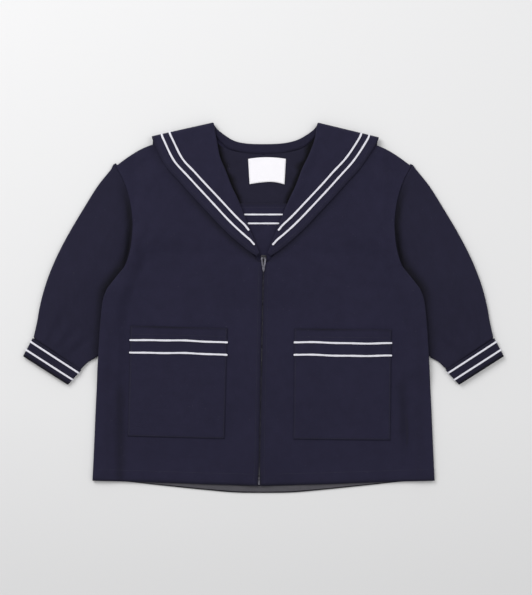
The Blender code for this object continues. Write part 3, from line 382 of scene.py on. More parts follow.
class Graph:
    # adds nodes to one tree; a value is a number, a colour or another node's socket
    def __init__(self, tree):
        self.tree = tree

    def feed(self, socket, value):
        if isinstance(value, bpy.types.NodeSocket):
            self.tree.links.new(value, socket)
        elif socket.type == "RGBA":
            socket.default_value = (*value, 1.0)
        else:
            socket.default_value = value

    def add(self, kind, values, **settings):
        node = self.tree.nodes.new("ShaderNode" + kind)
        for name, setting in settings.items():
            setattr(node, name, setting)
        for key, value in values.items():
            self.feed(node.inputs[key], value)
        return node.outputs

    def compute(self, operation, *values):
        return self.add("Math", dict(enumerate(values)), operation=operation)[0]

    def wave(self, value, turns):
        return self.compute("SINE", self.compute("MULTIPLY", value, 2.0 * math.pi * turns))

    def noise(self, vector, scale, detail=3.0, roughness=0.55, distortion=0.0):
        return self.add("TexNoise", {"Scale": scale, "Detail": detail, "Roughness": roughness,
                                     "Distortion": distortion, "Vector": vector})["Fac"]

    def remap(self, value, fromMin, fromMax, toMin, toMax):
        return self.add("MapRange", {"From Min": fromMin, "From Max": fromMax, "To Min": toMin,
                                     "To Max": toMax, "Value": value})["Result"]

    def mix(self, factor, first, second):
        return self.add("Mix", {0: factor, 6: first, 7: second}, data_type="RGBA")[2]

    def turned(self, vector, scale, angle):
        return self.add("Mapping", {"Scale": scale, "Rotation": (0.0, 0.0, angle), "Vector": vector})[0]

    def cloth(self):
        return self.add("UVMap", {}, uv_map="cloth")[0]

    def place(self):
        return self.add("TexCoord", {})["Object"]

    def use(self, key, vector, **values):
        named = {name.replace("_", " "): value for name, value in values.items()}
        return self.add("Group", {0: vector, **named}, node_tree=shared[key])


def newGroup(name, inputs, outputs):
    group = bpy.data.node_groups.new(name, "ShaderNodeTree")
    for socketName, value in inputs.items():
        kind = "NodeSocketVector" if value is None else "NodeSocketFloat"
        socket = group.interface.new_socket(socketName, in_out="INPUT", socket_type=kind)
        if value is not None:
            socket.default_value = value
    for socketName in outputs:
        group.interface.new_socket(socketName, in_out="OUTPUT", socket_type="NodeSocketFloat")
    given = group.nodes.new("NodeGroupInput").outputs
    return Graph(group), given, group.nodes.new("NodeGroupOutput").inputs


def makeTwill():
    # diagonal wales crossed by single threads, with slubs
    graph, given, out = newGroup("twillWeave", {"Cloth": None, "Wales per metre": 900.0, "Slant": 1.0},
                                 ["Height", "Thread"])
    split = graph.add("SeparateXYZ", {0: given["Cloth"]})
    tilted = graph.compute("MULTIPLY_ADD", split["Y"], given["Slant"], split["X"])
    wandering = graph.compute("MULTIPLY_ADD", graph.noise(given["Cloth"], 160.0, 2.0), 0.0011, tilted)
    wale = graph.wave(graph.compute("MULTIPLY", wandering, given["Wales per metre"]), 1.0)
    pick = graph.wave(graph.compute("MULTIPLY", split["Y"], given["Wales per metre"]), 2.0)
    threads = graph.compute("MULTIPLY_ADD", pick, 0.3, wale)
    height = graph.compute("MULTIPLY_ADD", graph.noise(given["Cloth"], 900.0, 2.0), 0.9, threads)
    graph.feed(out["Height"], height)
    graph.feed(out["Thread"], graph.remap(height, -1.0, 2.0, 0.0, 1.0))
    return graph.tree


def makeTone():
    # broad and fine unevenness of dyed cloth
    graph, given, out = newGroup("dyeTone", {"Cloth": None, "Broad": 0.5, "Fine": 0.5}, ["Tone"])
    parts = []
    for amount, *texture in (("Broad", 11.0, 4.0, 0.6), ("Broad", 70.0, 4.0, 0.65, 0.4),
                             ("Fine", 520.0, 3.0, 0.7)):
        centred = graph.compute("SUBTRACT", graph.noise(given["Cloth"], *texture), 0.5)
        parts.append(graph.compute("MULTIPLY", centred, given[amount]))
    total = graph.compute("ADD", graph.compute("ADD", parts[0], parts[1]), parts[2])
    graph.feed(out["Tone"], graph.compute("ADD", total, 0.5))
    return graph.tree


def makeLint():
    # sparse pale fibres and specks caught in the cloth
    graph, given, out = newGroup("lint", {"Cloth": None, "Amount": 1.0}, ["Mask"])
    masks = []
    for density, stretch, size in ((420.0, (1.0, 1.0, 1.0), 0.06), (260.0, (0.3, 1.5, 1.0), 0.05)):
        place = graph.turned(given["Cloth"], stretch, 0.6)
        cells = graph.add("TexVoronoi", {"Scale": density, "Vector": place})
        speck = graph.compute("LESS_THAN", cells["Distance"], size)
        chosen = graph.compute("GREATER_THAN", graph.add("SeparateColor", {0: cells["Color"]})[0], 0.8)
        masks.append(graph.compute("MULTIPLY", speck, chosen))
    graph.feed(out["Mask"], graph.compute("MULTIPLY", graph.compute("MAXIMUM", *masks), given["Amount"]))
    return graph.tree


def makeRubAndShade():
    # wear from rubbing and painted shade near edges, seams and folds
    graph, given, out = newGroup("rubbedAndShadedEdge", {"Cloth": None, "Near": 0.0, "Amount": 1.0}, ["Mask"])
    broken = graph.remap(graph.noise(given["Cloth"], 210.0, 3.0), 0.3, 0.7, 0.72, 1.0)
    near = graph.compute("MULTIPLY", given["Near"], broken)
    graph.feed(out["Mask"], graph.compute("MULTIPLY", near, given["Amount"]))
    return graph.tree


def makeBraid():
    # woven tape: cross ribs with a herringbone middle
    graph, given, out = newGroup("braidWeave", {"Cloth": None, "Ribs per metre": 1600.0},
                                 ["Height", "Thread"])
    split = graph.add("SeparateXYZ", {0: given["Cloth"]})
    slanted = graph.compute("ADD", graph.compute("ABSOLUTE", split["X"]), split["Y"])
    rib = graph.wave(graph.compute("MULTIPLY", slanted, given["Ribs per metre"]), 1.0)
    threads = graph.compute("MULTIPLY_ADD", graph.wave(split["X"], 1400.0), 0.4, rib)
    height = graph.compute("MULTIPLY_ADD", graph.noise(given["Cloth"], 1100.0, 2.0), 0.6, threads)
    graph.feed(out["Height"], height)
    graph.feed(out["Thread"], graph.remap(height, -1.2, 1.8, 0.0, 1.0))
    return graph.tree


def makeScuff():
    # fine scratches and dull patches on metal
    graph, given, out = newGroup("metalScuff", {"Place": None}, ["Scratch", "Dull"])
    scratched = graph.turned(given["Place"], (6.0, 1.0, 1.0), 0.4)
    graph.feed(out["Scratch"], graph.noise(scratched, 1500.0, 4.0, 0.7))
    graph.feed(out["Dull"], graph.remap(graph.noise(given["Place"], 260.0, 3.0), 0.4, 0.65, 0.0, 1.0))
    return graph.tree


shared = {"twill": makeTwill(), "tone": makeTone(), "lint": makeLint(), "rub": makeRubAndShade(),
          "braid": makeBraid(), "scuff": makeScuff()}


def newMaterial(name):
    material = bpy.data.materials.new(name)
    material.use_nodes = True
    return material, Graph(material.node_tree), material.node_tree.nodes["Principled BSDF"]


def bumped(graph, shader, height, depth, strength=1.0):
    bump = graph.add("Bump", {"Distance": depth, "Strength": strength, "Height": height})
    graph.feed(shader.inputs["Normal"], bump[0])


def navyCloth(name, look):
    material, graph, shader = newMaterial(name)
    cloth = graph.cloth()
    weave = graph.use("twill", cloth, Wales_per_metre=look["wales"], Slant=look["slant"])
    tone = graph.use("tone", cloth, Broad=look["broad"], Fine=look["fine"])
    lint = graph.use("lint", cloth, Amount=look["lint"])
    near = graph.add("Attribute", {}, attribute_name="wearAndShadeNear")
    rub = graph.use("rub", cloth, Near=near["Fac"], Amount=look["rub"])
    dyed = graph.mix(tone["Tone"], look["dark"], look["light"])
    threaded = graph.mix(graph.compute("MULTIPLY", weave["Thread"], 0.35), dyed, look["thread"])
    # painted shade with wear: mixed towards the dark colour where the mask is high
    rubbedAndShaded = graph.mix(rub["Mask"], threaded, look["worn"])
    linted = graph.mix(graph.compute("MULTIPLY", lint["Mask"], 0.35), rubbedAndShaded, look["fibre"])
    graph.feed(shader.inputs["Base Color"], linted)
    rough = graph.remap(tone["Tone"], 0.2, 0.8, look["rough"] - 0.05, look["rough"] + 0.05)
    graph.feed(shader.inputs["Roughness"], graph.compute("MULTIPLY_ADD", rub["Mask"], -0.08, rough))
    shader.inputs["Specular IOR Level"].default_value = 0.13
    shader.inputs["Sheen Weight"].default_value = look["sheen"]
    shader.inputs["Sheen Roughness"].default_value = 0.55
    shader.inputs["Sheen Tint"].default_value = (0.55, 0.56, 0.75, 1.0)
    bumped(graph, shader, graph.compute("MULTIPLY_ADD", tone["Tone"], 2.2, weave["Height"]), look["depth"])
    return material


def whiteTape(name, look):
    material, graph, shader = newMaterial(name)
    cloth = graph.cloth()
    weave = graph.use("braid", cloth, Ribs_per_metre=1500.0)
    tone = graph.use("tone", cloth, Broad=0.5, Fine=0.6)
    base = graph.mix(weave["Thread"], look["low"], look["high"])
    soil = graph.remap(tone["Tone"], 0.55, 0.85, 0.0, 0.30)
    graph.feed(shader.inputs["Base Color"], graph.mix(soil, base, look["soil"]))
    graph.feed(shader.inputs["Roughness"], graph.remap(weave["Thread"], 0.0, 1.0, 0.78, 0.60))
    shader.inputs["Sheen Weight"].default_value = 0.08
    bumped(graph, shader, weave["Height"], 0.00006)
    return material


def satinLabel(name, look):
    material, graph, shader = newMaterial(name)
    cloth = graph.cloth()
    weave = graph.use("twill", cloth, Wales_per_metre=2600.0, Slant=0.35)
    tone = graph.use("tone", cloth, Broad=0.35, Fine=0.4)
    share = graph.compute("MULTIPLY", tone["Tone"], 0.5)
    share = graph.compute("MULTIPLY_ADD", weave["Thread"], 0.5, share)
    graph.feed(shader.inputs["Base Color"], graph.mix(share, look["low"], look["high"]))
    graph.feed(shader.inputs["Roughness"], graph.remap(weave["Thread"], 0.0, 1.0, 0.62, 0.48))
    shader.inputs["Anisotropic"].default_value = 0.4
    bumped(graph, shader, weave["Height"], 0.00003)
    return material


def sewingThread(name, look):
    material, graph, shader = newMaterial(name)
    place = graph.place()
    tone = graph.use("tone", place, Broad=0.6, Fine=1.4)
    graph.feed(shader.inputs["Base Color"], graph.mix(tone["Tone"], look["low"], look["high"]))
    graph.feed(shader.inputs["Roughness"], graph.remap(tone["Tone"], 0.2, 0.8, 0.55, 0.72))
    bumped(graph, shader, graph.noise(place, 2400.0, 2.0), 0.00005)
    return material


def wornMetal(name, look):
    material, graph, shader = newMaterial(name)
    place = graph.place()
    scuff = graph.use("scuff", place)
    graph.feed(shader.inputs["Base Color"], graph.mix(scuff["Dull"], look["bright"], look["dull"]))
    shader.inputs["Metallic"].default_value = look["metallic"]
    graph.feed(shader.inputs["Roughness"],
               graph.remap(scuff["Scratch"], 0.3, 0.7, look["rough"] - 0.08, look["rough"] + 0.12))
    bumped(graph, shader, scuff["Scratch"], 0.00003, 0.6)
    return material


navyLook = {"wales": 1150.0, "slant": 1.7, "broad": 1.0, "fine": 0.9, "lint": 1.0, "rub": 0.5,
            "dark": (0.0100, 0.0090, 0.0240), "light": (0.0200, 0.0184, 0.0420),
            # worn is the dark colour for wear and painted shade along edges, folds and seams
            "thread": (0.023, 0.021, 0.049), "worn": (0.0052, 0.0048, 0.0110), "fibre": (0.30, 0.30, 0.34),
            "rough": 0.84, "sheen": 0.05, "depth": 0.00007}
# each look's key, maker, name, slot, and what it changes
looks = [
    ("body", navyCloth, "navyTwillBody", "navy cloth", {}),
    # the sleeve cloth is a darker copy of the body's: painted shade; its very dark edge colour paints the
    # shade along the armhole
    ("sleeve", navyCloth, "navyTwillSleeve", "navy cloth",
     {"dark": (0.0090, 0.0082, 0.0200), "light": (0.0172, 0.0158, 0.0350), "rub": 1.15,
      "worn": (0.0022, 0.0020, 0.0042)}),
    ("pocket", navyCloth, "navyTwillPocket", "navy cloth", {"rub": 1.0, "worn": (0.0030, 0.0028, 0.0060)}),
    ("collar", navyCloth, "navyTwillCollar", "navy cloth", {"slant": -1.7, "rub": 0.4}),
    ("inside", navyCloth, "navyTwillInside", "navy cloth",
     {"slant": -1.7, "dark": (0.0090, 0.0084, 0.0185), "light": (0.0180, 0.0168, 0.0330), "sheen": 0.03,
      "rub": 1.1, "worn": (0.0025, 0.0022, 0.0045)}),
    ("binding", navyCloth, "greyBinding", "navy cloth",
     {"wales": 1800.0, "dark": (0.060, 0.058, 0.068), "light": (0.115, 0.110, 0.125),
      "thread": (0.13, 0.125, 0.14), "rub": 0.0}),
    ("tape", whiteTape, "whiteBraid", "white tape",
     {"low": (0.60, 0.59, 0.66), "high": (0.91, 0.905, 0.985), "soil": (0.54, 0.53, 0.60)}),
    ("label", satinLabel, "labelSatin", "label white",
     {"low": (0.80, 0.78, 0.83), "high": (0.95, 0.94, 0.97)}),
    ("zipTape", navyCloth, "zipTapeWeave", "zip tape navy",
     {"wales": 1500.0, "slant": 0.0, "dark": (0.007, 0.007, 0.011), "light": (0.016, 0.016, 0.024),
      "thread": (0.020, 0.020, 0.028), "rub": 0.2, "sheen": 0.03}),
    ("navyThread", sewingThread, "navyThread", "navy cloth",
     {"low": (0.014, 0.014, 0.026), "high": (0.034, 0.034, 0.056)}),
    ("whiteThread", sewingThread, "whiteThread", "white tape",
     {"low": (0.62, 0.60, 0.64), "high": (0.90, 0.88, 0.91)}),
    ("silver", wornMetal, "wornSilver", "silver metal",
     {"bright": (0.24, 0.235, 0.275), "dull": (0.09, 0.088, 0.108), "metallic": 1.0, "rough": 0.34}),
    # the teeth get a darker metal than the silver parts: painted shade of the gap between the fronts
    ("teeth", wornMetal, "darkNickel", "silver metal",
     {"bright": (0.20, 0.20, 0.22), "dull": (0.05, 0.05, 0.06), "metallic": 1.0, "rough": 0.36}),
    ("black", wornMetal, "blackEnamel", "black metal",
     {"bright": (0.018, 0.018, 0.021), "dull": (0.045, 0.045, 0.05), "metallic": 0.6, "rough": 0.34}),
]
materials = {}
for look, maker, lookName, slot, change in looks:
    materials[look] = maker(lookName, {**navyLook, **change})
print("materials are ready")


panelCut = {"acrossCount": 78, "lowerCount": 70, "upperCount": 62, "curlCount": 6, "crowding": 0.92,
            "corner": 0.6, "neckCorner": 0.43, "openBy": 0.25,
            "hemBand": 18.0, "hemStep": 1.6, "hemRise": 0.35}


def curlRun(run, bend):
    # how far a curl of this bend has gone out, and down
    bend = np.maximum(bend, 1e-4)
    return np.sin(bend * run) / bend, (1.0 - np.cos(bend * run)) / bend


def joined(first, second, corner):
    def at(share):
        low = first(np.minimum(share / corner, 1.0))
        high = second(np.maximum((share - corner) / (1.0 - corner), 0.0))
        return np.where((share <= corner)[:, None], low, high)
    return at


def sideCurl(side, share, step):
    x, y = side(share).T
    radius = (frontTop(x - 3.0, y) - backUnder(x - 3.0, y)) / 2.0
    full = radius * np.arccos(panelCut["openBy"] / radius) * step
    return curlRun(full, ease(y, 76.0, 34.0) / radius)


def panelGrid(hem, innerEdge, height, turn):
    # one half of a body panel: a flat patch, then its side and shoulder curled towards the other panel
    side = joined(Curve(sideEdge).at, Curve(armhole).at, panelCut["corner"])
    shoulder = Curve(shoulderFold)
    curls = panelCut["curlCount"]
    radius = stack["shoulderRound"]
    shoulderTurn = math.acos(panelCut["openBy"] / radius)
    across = spread(0.0, 1.0, panelCut["acrossCount"]) ** panelCut["crowding"]
    up = np.concatenate([spread(0.0, panelCut["corner"], panelCut["lowerCount"]),
                         spread(panelCut["corner"], 1.0, panelCut["upperCount"])[1:]])
    shoulderOut, _ = curlRun(radius * shoulderTurn, 1.0 / radius)
    top = np.ones(1)
    sideOut = np.array([sideCurl(side, top, 1.0)[0][0], 0.0])

    def shoulderInset(share):
        return shoulder.at(share) - shoulder.left(share) * shoulderOut

    def right(share):
        out, _ = sideCurl(side, share, 1.0)
        level = side(share) - np.stack([out, 0.0 * out], -1)
        lifted = (shoulderInset(1.0) - sideOut) - (side(top)[0] - sideOut)
        return level + lifted * ease(share, 0.8, 1.0)[:, None]

    def low(share):
        return hem(share) + (right(np.zeros(1))[0] - hem(1.0)) * share[:, None]

    def high(share):
        begin = innerEdge(top)[0] - shoulderInset(0.0)
        finishBy = (shoulderInset(1.0) - sideOut) - shoulderInset(1.0)
        return shoulderInset(share) + begin * (1.0 - share)[:, None] + finishBy * share[:, None]

    flat = patch(across, up, low, high, innerEdge, right)
    columns = [np.concatenate([flat, 0.0 * flat[..., :1]], -1)]
    for step in range(1, curls + 1):
        out, fall = sideCurl(side, up, step / curls)
        columns.append(np.stack([flat[:, -1, 0] + out, flat[:, -1, 1], fall], -1)[:, None])
    x, y, drop = np.moveaxis(np.concatenate(columns, 1), -1, 0)
    z = height(x, y)
    rows = [np.stack([x, y, z + turn * drop], -1)]
    direction = shoulder.left(np.append(across, np.ones(curls)))
    for step in range(1, curls + 1):
        out, fall = curlRun(radius * shoulderTurn * step / curls, 1.0 / radius)
        rows.append(np.stack([x[-1] + direction[:, 0] * out, y[-1] + direction[:, 1] * out,
                              z[-1] + turn * (drop[-1] + fall)], -1)[None])
    return np.concatenate(rows)


frontCut = {
    "size": (250.0, 514.0), "underLapel": 0.9, "vSeam": [(5.6, 66.5), (10.2, 70.0)],
    "lapelShares": (0.9, 0.75, 0.6, 0.45, 0.3, 0.15, 0.0), "placket": (8.5, 7.0, 0.3),
    # painted shade of a fold beside each pocket: strength, x, its change with y, width, fades above and below
    "sideFoldShade": {1: (0.8, 194.0, -0.03, 6.5, (-90.0, -112.0), (-200.0, -168.0)),
                 -1: (1.2, 204.0, 0.0, 7.0, (-98.0, -124.0), (-400.0, -300.0))},
    "lapelShadowAmount": {1: 1.2, -1: 1.7},
}


def paintLapelShadow(x, y, amount):
    # painted shadow: the cloth is darkened beside the lapel's outer edge, most near the V
    edge = Curve(lapelEdge).at(spread(0.0, 1.0, 160))
    steps = np.stack([x, y], -1)[..., None, :] - edge
    distance = np.sqrt((steps * steps).sum(-1).min(-1))
    return amount * bell(distance, 2.0, 5.5) * (0.35 + 0.65 * ease(y, 190.0, 120.0)) * ease(y, 62.0, 76.0)


def frontPanel(name, side):
    placketTo, placketFrom, placketRise = frontCut["placket"]

    def centreEdge(share):
        y = cutting["frontHemY"] + (cutting["zipTopY"] - cutting["frontHemY"]) * share
        return np.stack([readTable(zipHalfGap, y) + side * zipX(y), y], -1)

    def height(x, y):
        hemStep = panelCut["hemRise"] * ease(y - readTable(frontHem, np.abs(x)), panelCut["hemBand"],
                                             panelCut["hemBand"] - panelCut["hemStep"])
        fromZip = np.abs(x - side * zipX(y))
        placket = placketRise * ease(fromZip, placketTo, placketFrom) * ease(y, 72.0, 64.0)
        return frontLaid(side * x, y) + hemStep + placket

    seam = [centreEdge(np.ones(1))[0]] + frontCut["vSeam"]
    seam += [lapelSeam(share, frontCut["underLapel"]) for share in frontCut["lapelShares"]]
    hem = Curve([centreEdge(np.zeros(1))[0]] + frontHem[1:])
    half = panelGrid(hem.at, joined(centreEdge, Curve(seam).at, panelCut["corner"]), height, -1.0)
    x, y, cloth = half[..., 0], half[..., 1], half[..., :2]
    dark, foldX, slope, width, above, below = frontCut["sideFoldShade"][side]
    # painted shade: dark bands along the side folds and near the side edge, wear with painted shade along the
    # centre edge and hem, and the painted lapel shadow
    folded = dark * bell(x, foldX + slope * y, width) * ease(y, *above) * ease(y, *below)
    folded = np.maximum(folded, 0.3 * bell(x, 222.0, 6.0) * ease(y, -20.0, -60.0))
    folded = np.maximum(folded, edgeShare(cloth, "lb"))
    folded = np.maximum(folded, paintLapelShadow(x, y, frontCut["lapelShadowAmount"][side]))
    laySheet("Front" + name, flipped(half, side), "body", ["front_" + name.lower()], frontCut["size"],
             ["Back", "back"], cloth=cloth, edges=folded)


collarCut = {
    "size": (420.0, 460.0), "frontStand": 8.0, "backStand": 14.0, "rollBump": 0.5, "shoulderLength": 88.0,
    "slope": math.radians(15.5), "neckPoint": (74.5, 258.6), "flapHalf": 155.0, "flapBottomY": 108.0,
    "flapCorner": 0.46, "lapelCount": 84, "flapCount": 26, "acrossCount": 34, "rollCount": 11,
    "wrapCount": 17,
    "tapeFromEdge": {"Outer": 13.6, "Inner": 24.6}, "tapeFromRoll": 1.9,
    # how far the shoulder fold sits off the table, at the neck point and at the outer corner
    "shoulderReach": 84.8, "satLeft": ((1.2, 1.8), (3.4, 4.3)), "satRight": ((4.8, 2.0), (1.9, 5.8)),
}
lapelRoll = Curve(rollLine)
lapelOuter = Curve(lapelEdge)
neckRoll = Curve(neckFold)
neckPoint = np.array(collarCut["neckPoint"])
axisOut = np.array([math.cos(collarCut["slope"]), -math.sin(collarCut["slope"])])
axisUp = np.array([math.sin(collarCut["slope"]), math.cos(collarCut["slope"])])
neckLapelZ = (stack["flapLift"] + 2 * cutting["clothWall"] + stack["chestSlack"] + cutting["gap"]
              + cutting["collarWall"] + collarCut["rollBump"])
wrapRadius = (neckLapelZ - stack["flapUnder"]) / 2.0
wrapHeight = (neckLapelZ + stack["flapUnder"]) / 2.0
standRadius = stack["flapLift"] + cutting["clothWall"] + stack["chestSlack"] - wrapHeight
wrapTurns = np.radians(spread(0.0, 180.0, collarCut["wrapCount"])[1:-1])


def collarSat(points):
    settled = np.array(points, float)
    x, y = settled[..., 0], settled[..., 1]
    part = np.clip((np.abs(x) - neckPoint[0]) / collarCut["shoulderReach"], 0.0, 1.1)[..., None]
    onRight = (x < 0.0)[..., None]
    neck, corner = [np.where(onRight, right, left)
                    for left, right in zip(collarCut["satLeft"], collarCut["satRight"])]
    share = ease(y, 203.0, 243.0) * ease(np.abs(x), 18.0, 70.0)
    settled[..., :2] += (neck * (1.0 - part) + corner * part) * share[..., None]
    return settled


def section(start, edge):
    # where a section across the collar starts, its direction and its width
    width = float(np.linalg.norm(edge - start))
    return start, (edge - start) / width, width


def lapelSection(share):
    return section(lapelRoll.at(share), lapelOuter.at(share))


def lapelStand(share):
    return min(collarCut["frontStand"], lapelSection(share)[2] - 1.2)


def lapelSeam(share, beyond):
    start, direction, _ = lapelSection(share)
    return start + direction * (lapelStand(share) + beyond)


def flapSection(share):
    turn = collarCut["flapCorner"]
    corner = np.array((collarCut["flapHalf"], collarCut["flapBottomY"]))
    if share <= turn:
        edge = np.array(lapelEdge[0]) * (1 - share / turn) + corner * share / turn
    else:
        part = (share - turn) / (1.0 - turn)
        edge = corner * (1 - part) + np.array((0.0, collarCut["flapBottomY"])) * part
    return section(neckRoll.at(share), edge)


def flapStand(share):
    rise = collarCut["backStand"] - collarCut["frontStand"]
    return collarCut["frontStand"] + rise * float(ease(share, 0.0, 0.5))


def lapelLaid(x, y, fromRoll):
    # the lapel's outer face: rounded at the roll, puffed at the shoulder, creased in between
    below = neckPoint[1] - (x - neckPoint[0]) * math.tan(collarCut["slope"]) - y
    puff = collarCut["rollBump"] * ease(below * math.cos(collarCut["slope"]), 26.0, 0.0)
    bump = np.maximum(collarCut["rollBump"] * bell(fromRoll, 0.0, 9.0), puff)
    settle = ease(below, 4.0, 26.0)
    rolled = 1.5 * bell(fromRoll, 2.0, 7.0) - 0.5 * bell(fromRoll, 17.0, 6.0)
    bump = bump + rolled * settle * ease(y, 96.0, 150.0) * (1.0 + 0.25 * np.sin(y * 0.13))
    base = frontTop(x, y) + cutting["gap"] + cutting["collarWall"]
    return base + bump + creaseHeight("collar", x, y) * settle


def foldSection(low, high, stand, width):
    radius = (high - low) / 2.0
    turns = np.radians(spread(-90.0, 90.0, collarCut["rollCount"]))
    across = spread(0.0, 1.0, collarCut["acrossCount"])[1:]
    edge = 1.0 - (1.0 - across) ** 1.15
    runs = np.concatenate([[stand, stand * 0.7 + radius * 0.3, stand * 0.35 + radius * 0.65],
                           radius - radius * np.cos(turns), radius + (width - radius) * edge])
    levels = np.concatenate([[low] * 3, (low + high) / 2.0 + radius * np.sin(turns), [high] * len(across)])
    return runs, levels


def collarGrid():
    stations = []
    cloths = []
    shares = spread(1.0, 0.0, collarCut["lapelCount"])
    downs = runOf(lapelRoll.at(shares))
    for share, down in zip(shares, downs):
        start, direction, width = lapelSection(share)
        tip = start + direction * 3.0
        low = float(frontUnder(*tip))
        high = float(lapelLaid(*tip, 3.0))
        runs, levels = foldSection(low, high, lapelStand(share), width)
        flat = start + direction * runs[:, None]
        under = levels <= low
        above = levels >= high
        levels = np.where(under, frontUnder(*flat.T), levels)
        levels = np.where(above, lapelLaid(*flat.T, runs), levels)
        stations.append(np.column_stack([flat, levels]))
        cloths.append(np.column_stack([runs, np.full(len(runs), down)]))
    for turn in wrapTurns:
        runs, levels = foldSection(standRadius, wrapRadius, collarCut["frontStand"],
                                   collarCut["shoulderLength"])
        flat = neckPoint + axisOut * runs[:, None] + axisUp * (levels * math.sin(turn))[:, None]
        stations.append(np.column_stack([flat, wrapHeight + levels * math.cos(turn)]))
        down += wrapRadius * math.pi / len(wrapTurns)
        cloths.append(np.column_stack([runs, np.full(len(runs), down)]))
    for share in np.unique(np.concatenate([spread(0.0, collarCut["flapCorner"], collarCut["flapCount"]),
                                           spread(collarCut["flapCorner"], 1.0, collarCut["flapCount"])])):
        start, direction, width = flapSection(share)
        runs, levels = foldSection(standRadius, wrapRadius, flapStand(share), width)
        flat = start + direction * runs[:, None]
        x, y = flat.T
        clear = ease(np.abs(x), 124.0, 108.0) * ease(y, 138.0, 152.0) * ease(runs, 16.0, 28.0)
        stations.append(np.column_stack([flat, wrapHeight - levels + creaseHeight("flap", x, y) * clear]))
        cloths.append(flat - np.array([0.0, 300.0]))
    return np.array(stations), np.array(cloths)


def collar():
    points, cloth = collarGrid()
    points[-1, :, 0] = 0.0
    whole = collarSat(withMirror(points))
    cloth = withMirror(cloth)
    # painted shade: the stand inside the neck is mixed darker than the fall, and the collar's outer edge
    # darker too
    stand = 0.7 * ease(np.arange(whole.shape[1]), 11.0, 6.0)[None, :]
    laySheet("Collar", whole, "collar", ["collar"], collarCut["size"], ["FrontLeft", "FrontRight"],
             cutting["collarWall"], held="folded", cloth=cloth, facing=(0.1, 0.8, (0, 0, 1)),
             edges=np.maximum(edgeShare(cloth, "r"), stand))


# places across a tape as shares of its width, and how high the tape's face is there
tapeCut = {"width": 2.75, "rise": 1.0, "wave": 0.55, "wall": 0.75, "pitch": 2.6,
           "ends": (0.0, 0.1, 0.35, 0.8, 1.4),
           "places": (-0.5, -0.44, -0.30, -0.1, 0.1, 0.30, 0.44, 0.5),
           "lifts": (-0.30, -0.06, 0.0, 0.06, 0.06, 0.0, -0.06, -0.30)}


def tape(name, points, ups, nodes, restsOn, width=tapeCut["width"]):
    # a tape along points: a strip with soft edges and rounded ends
    run = runOf(points)
    ends = np.array(tapeCut["ends"])
    pitch = tapeCut["pitch"]
    between = spread(pitch, run[-1] - pitch, max(int(run[-1] / pitch), 4))
    at = np.concatenate([ends, between, run[-1] - ends[::-1]])
    line = readLine(at, run, points)
    up = unit(readLine(at, run, ups))
    across = unit(np.cross(np.gradient(line, at, axis=0), up))
    fromEnd = np.minimum(at, run[-1] - at)
    wide = np.sqrt(1.0 - np.clip(1.0 - (fromEnd + 0.25) / 1.5, 0.0, 1.0) ** 2)
    wander = 1.0 + 0.05 * np.sin(at * 0.21 + run[-1]) + 0.04 * np.sin(at * 0.53 + 1.0)
    reach = np.array(tapeCut["places"])[None, :] * (width * wide * wander)[:, None]
    rise = (tapeCut["rise"] + np.array(tapeCut["lifts"]))[None, :, None]
    grid = line[:, None, :] + up[:, None, :] * rise + across[:, None, :] * reach[..., None]
    cloth = np.stack([reach, np.broadcast_to(at[:, None], reach.shape)], -1)
    laySheet(name, grid, "tape", nodes, (tapeCut["width"], float(run[-1])), restsOn, tapeCut["wall"],
             cloth=cloth, facing=(0.5, 0.5, up[len(up) // 2]))


def lapelRun(share, fromEdge):
    # how far from the roll a line lies that keeps this distance from the lapel's edge
    _, direction, width = lapelSection(share)
    return width - fromEdge / abs(float(np.dot(direction, lapelOuter.left(share))))


def collarTapePath(fromEdge):
    # down the lapel, round the shoulder fold and along the flap's edge, to the middle of the back
    lowest = max(share for share in spread(0.0, 1.0, 400)
                 if lapelRun(share, fromEdge) > collarCut["tapeFromRoll"])
    points = []
    for share in spread(lowest, 0.0, 90):
        start, direction, _ = lapelSection(share)
        run = lapelRun(share, fromEdge)
        x, y = start + direction * run
        points.append((x, y, float(lapelLaid(x, y, run))))
    ups = [(0.0, 0.0, 1.0)] * len(points)
    # the tape follows the edge loosely, and its ends turn down at the V
    track = np.array(points)
    window = np.hanning(21)
    for axis in (0, 1):
        padded = np.pad(track[:, axis], 9, mode="reflect", reflect_type="odd")
        track[:, axis] = np.convolve(padded, window[1:-1] / window.sum(), mode="valid")
    track[:, :2] += np.array([-0.6, -2.7]) * ease(runOf(track[:, :2]), 8.0, 0.0)[:, None]
    points = list(track)
    for turn in wrapTurns:
        x, y = neckPoint + axisOut * run + axisUp * (wrapRadius * math.sin(turn))
        points.append((x, y, wrapHeight + wrapRadius * math.cos(turn)))
        ups.append((axisUp[0] * math.sin(turn), axisUp[1] * math.sin(turn), math.cos(turn)))
    sideX = collarCut["flapHalf"] - fromEdge
    lowY = collarCut["flapBottomY"] + fromEdge
    for x, y in (neckPoint + axisOut * run, (sideX + 1.0, 170.0), (sideX, lowY + 1.8),
                 (sideX - 0.6, lowY + 0.6), (sideX - 1.8, lowY), (0.0, lowY)):
        points.append((x, y, stack["flapUnder"]))
        ups.append((0.0, 0.0, -1.0))
    return np.array(points), np.array(ups)


def collarTape(name, fromEdge):
    points, ups = collarTapePath(fromEdge)
    run = runOf(points)
    at = spread(0.0, run[-1], max(int(run[-1] / 3.0), 4))
    points, ups = readLine(at, run, points), unit(readLine(at, run, ups))
    points[-1, 0] = 0.0
    line, ups = withMirror(points), withMirror(ups)
    drift = 1.1 * bell(line[:, 1], 160.0, 45.0) * (line[:, 2] > 5.0) * (np.arange(len(line)) >= len(points))
    line[:, :2] += np.array([0.75, 0.65]) * drift[:, None]
    line = collarSat(line)
    tape("CollarTape" + name, line, ups, ["collar_tape_" + name.lower()], ["Collar"])
    return line, ups


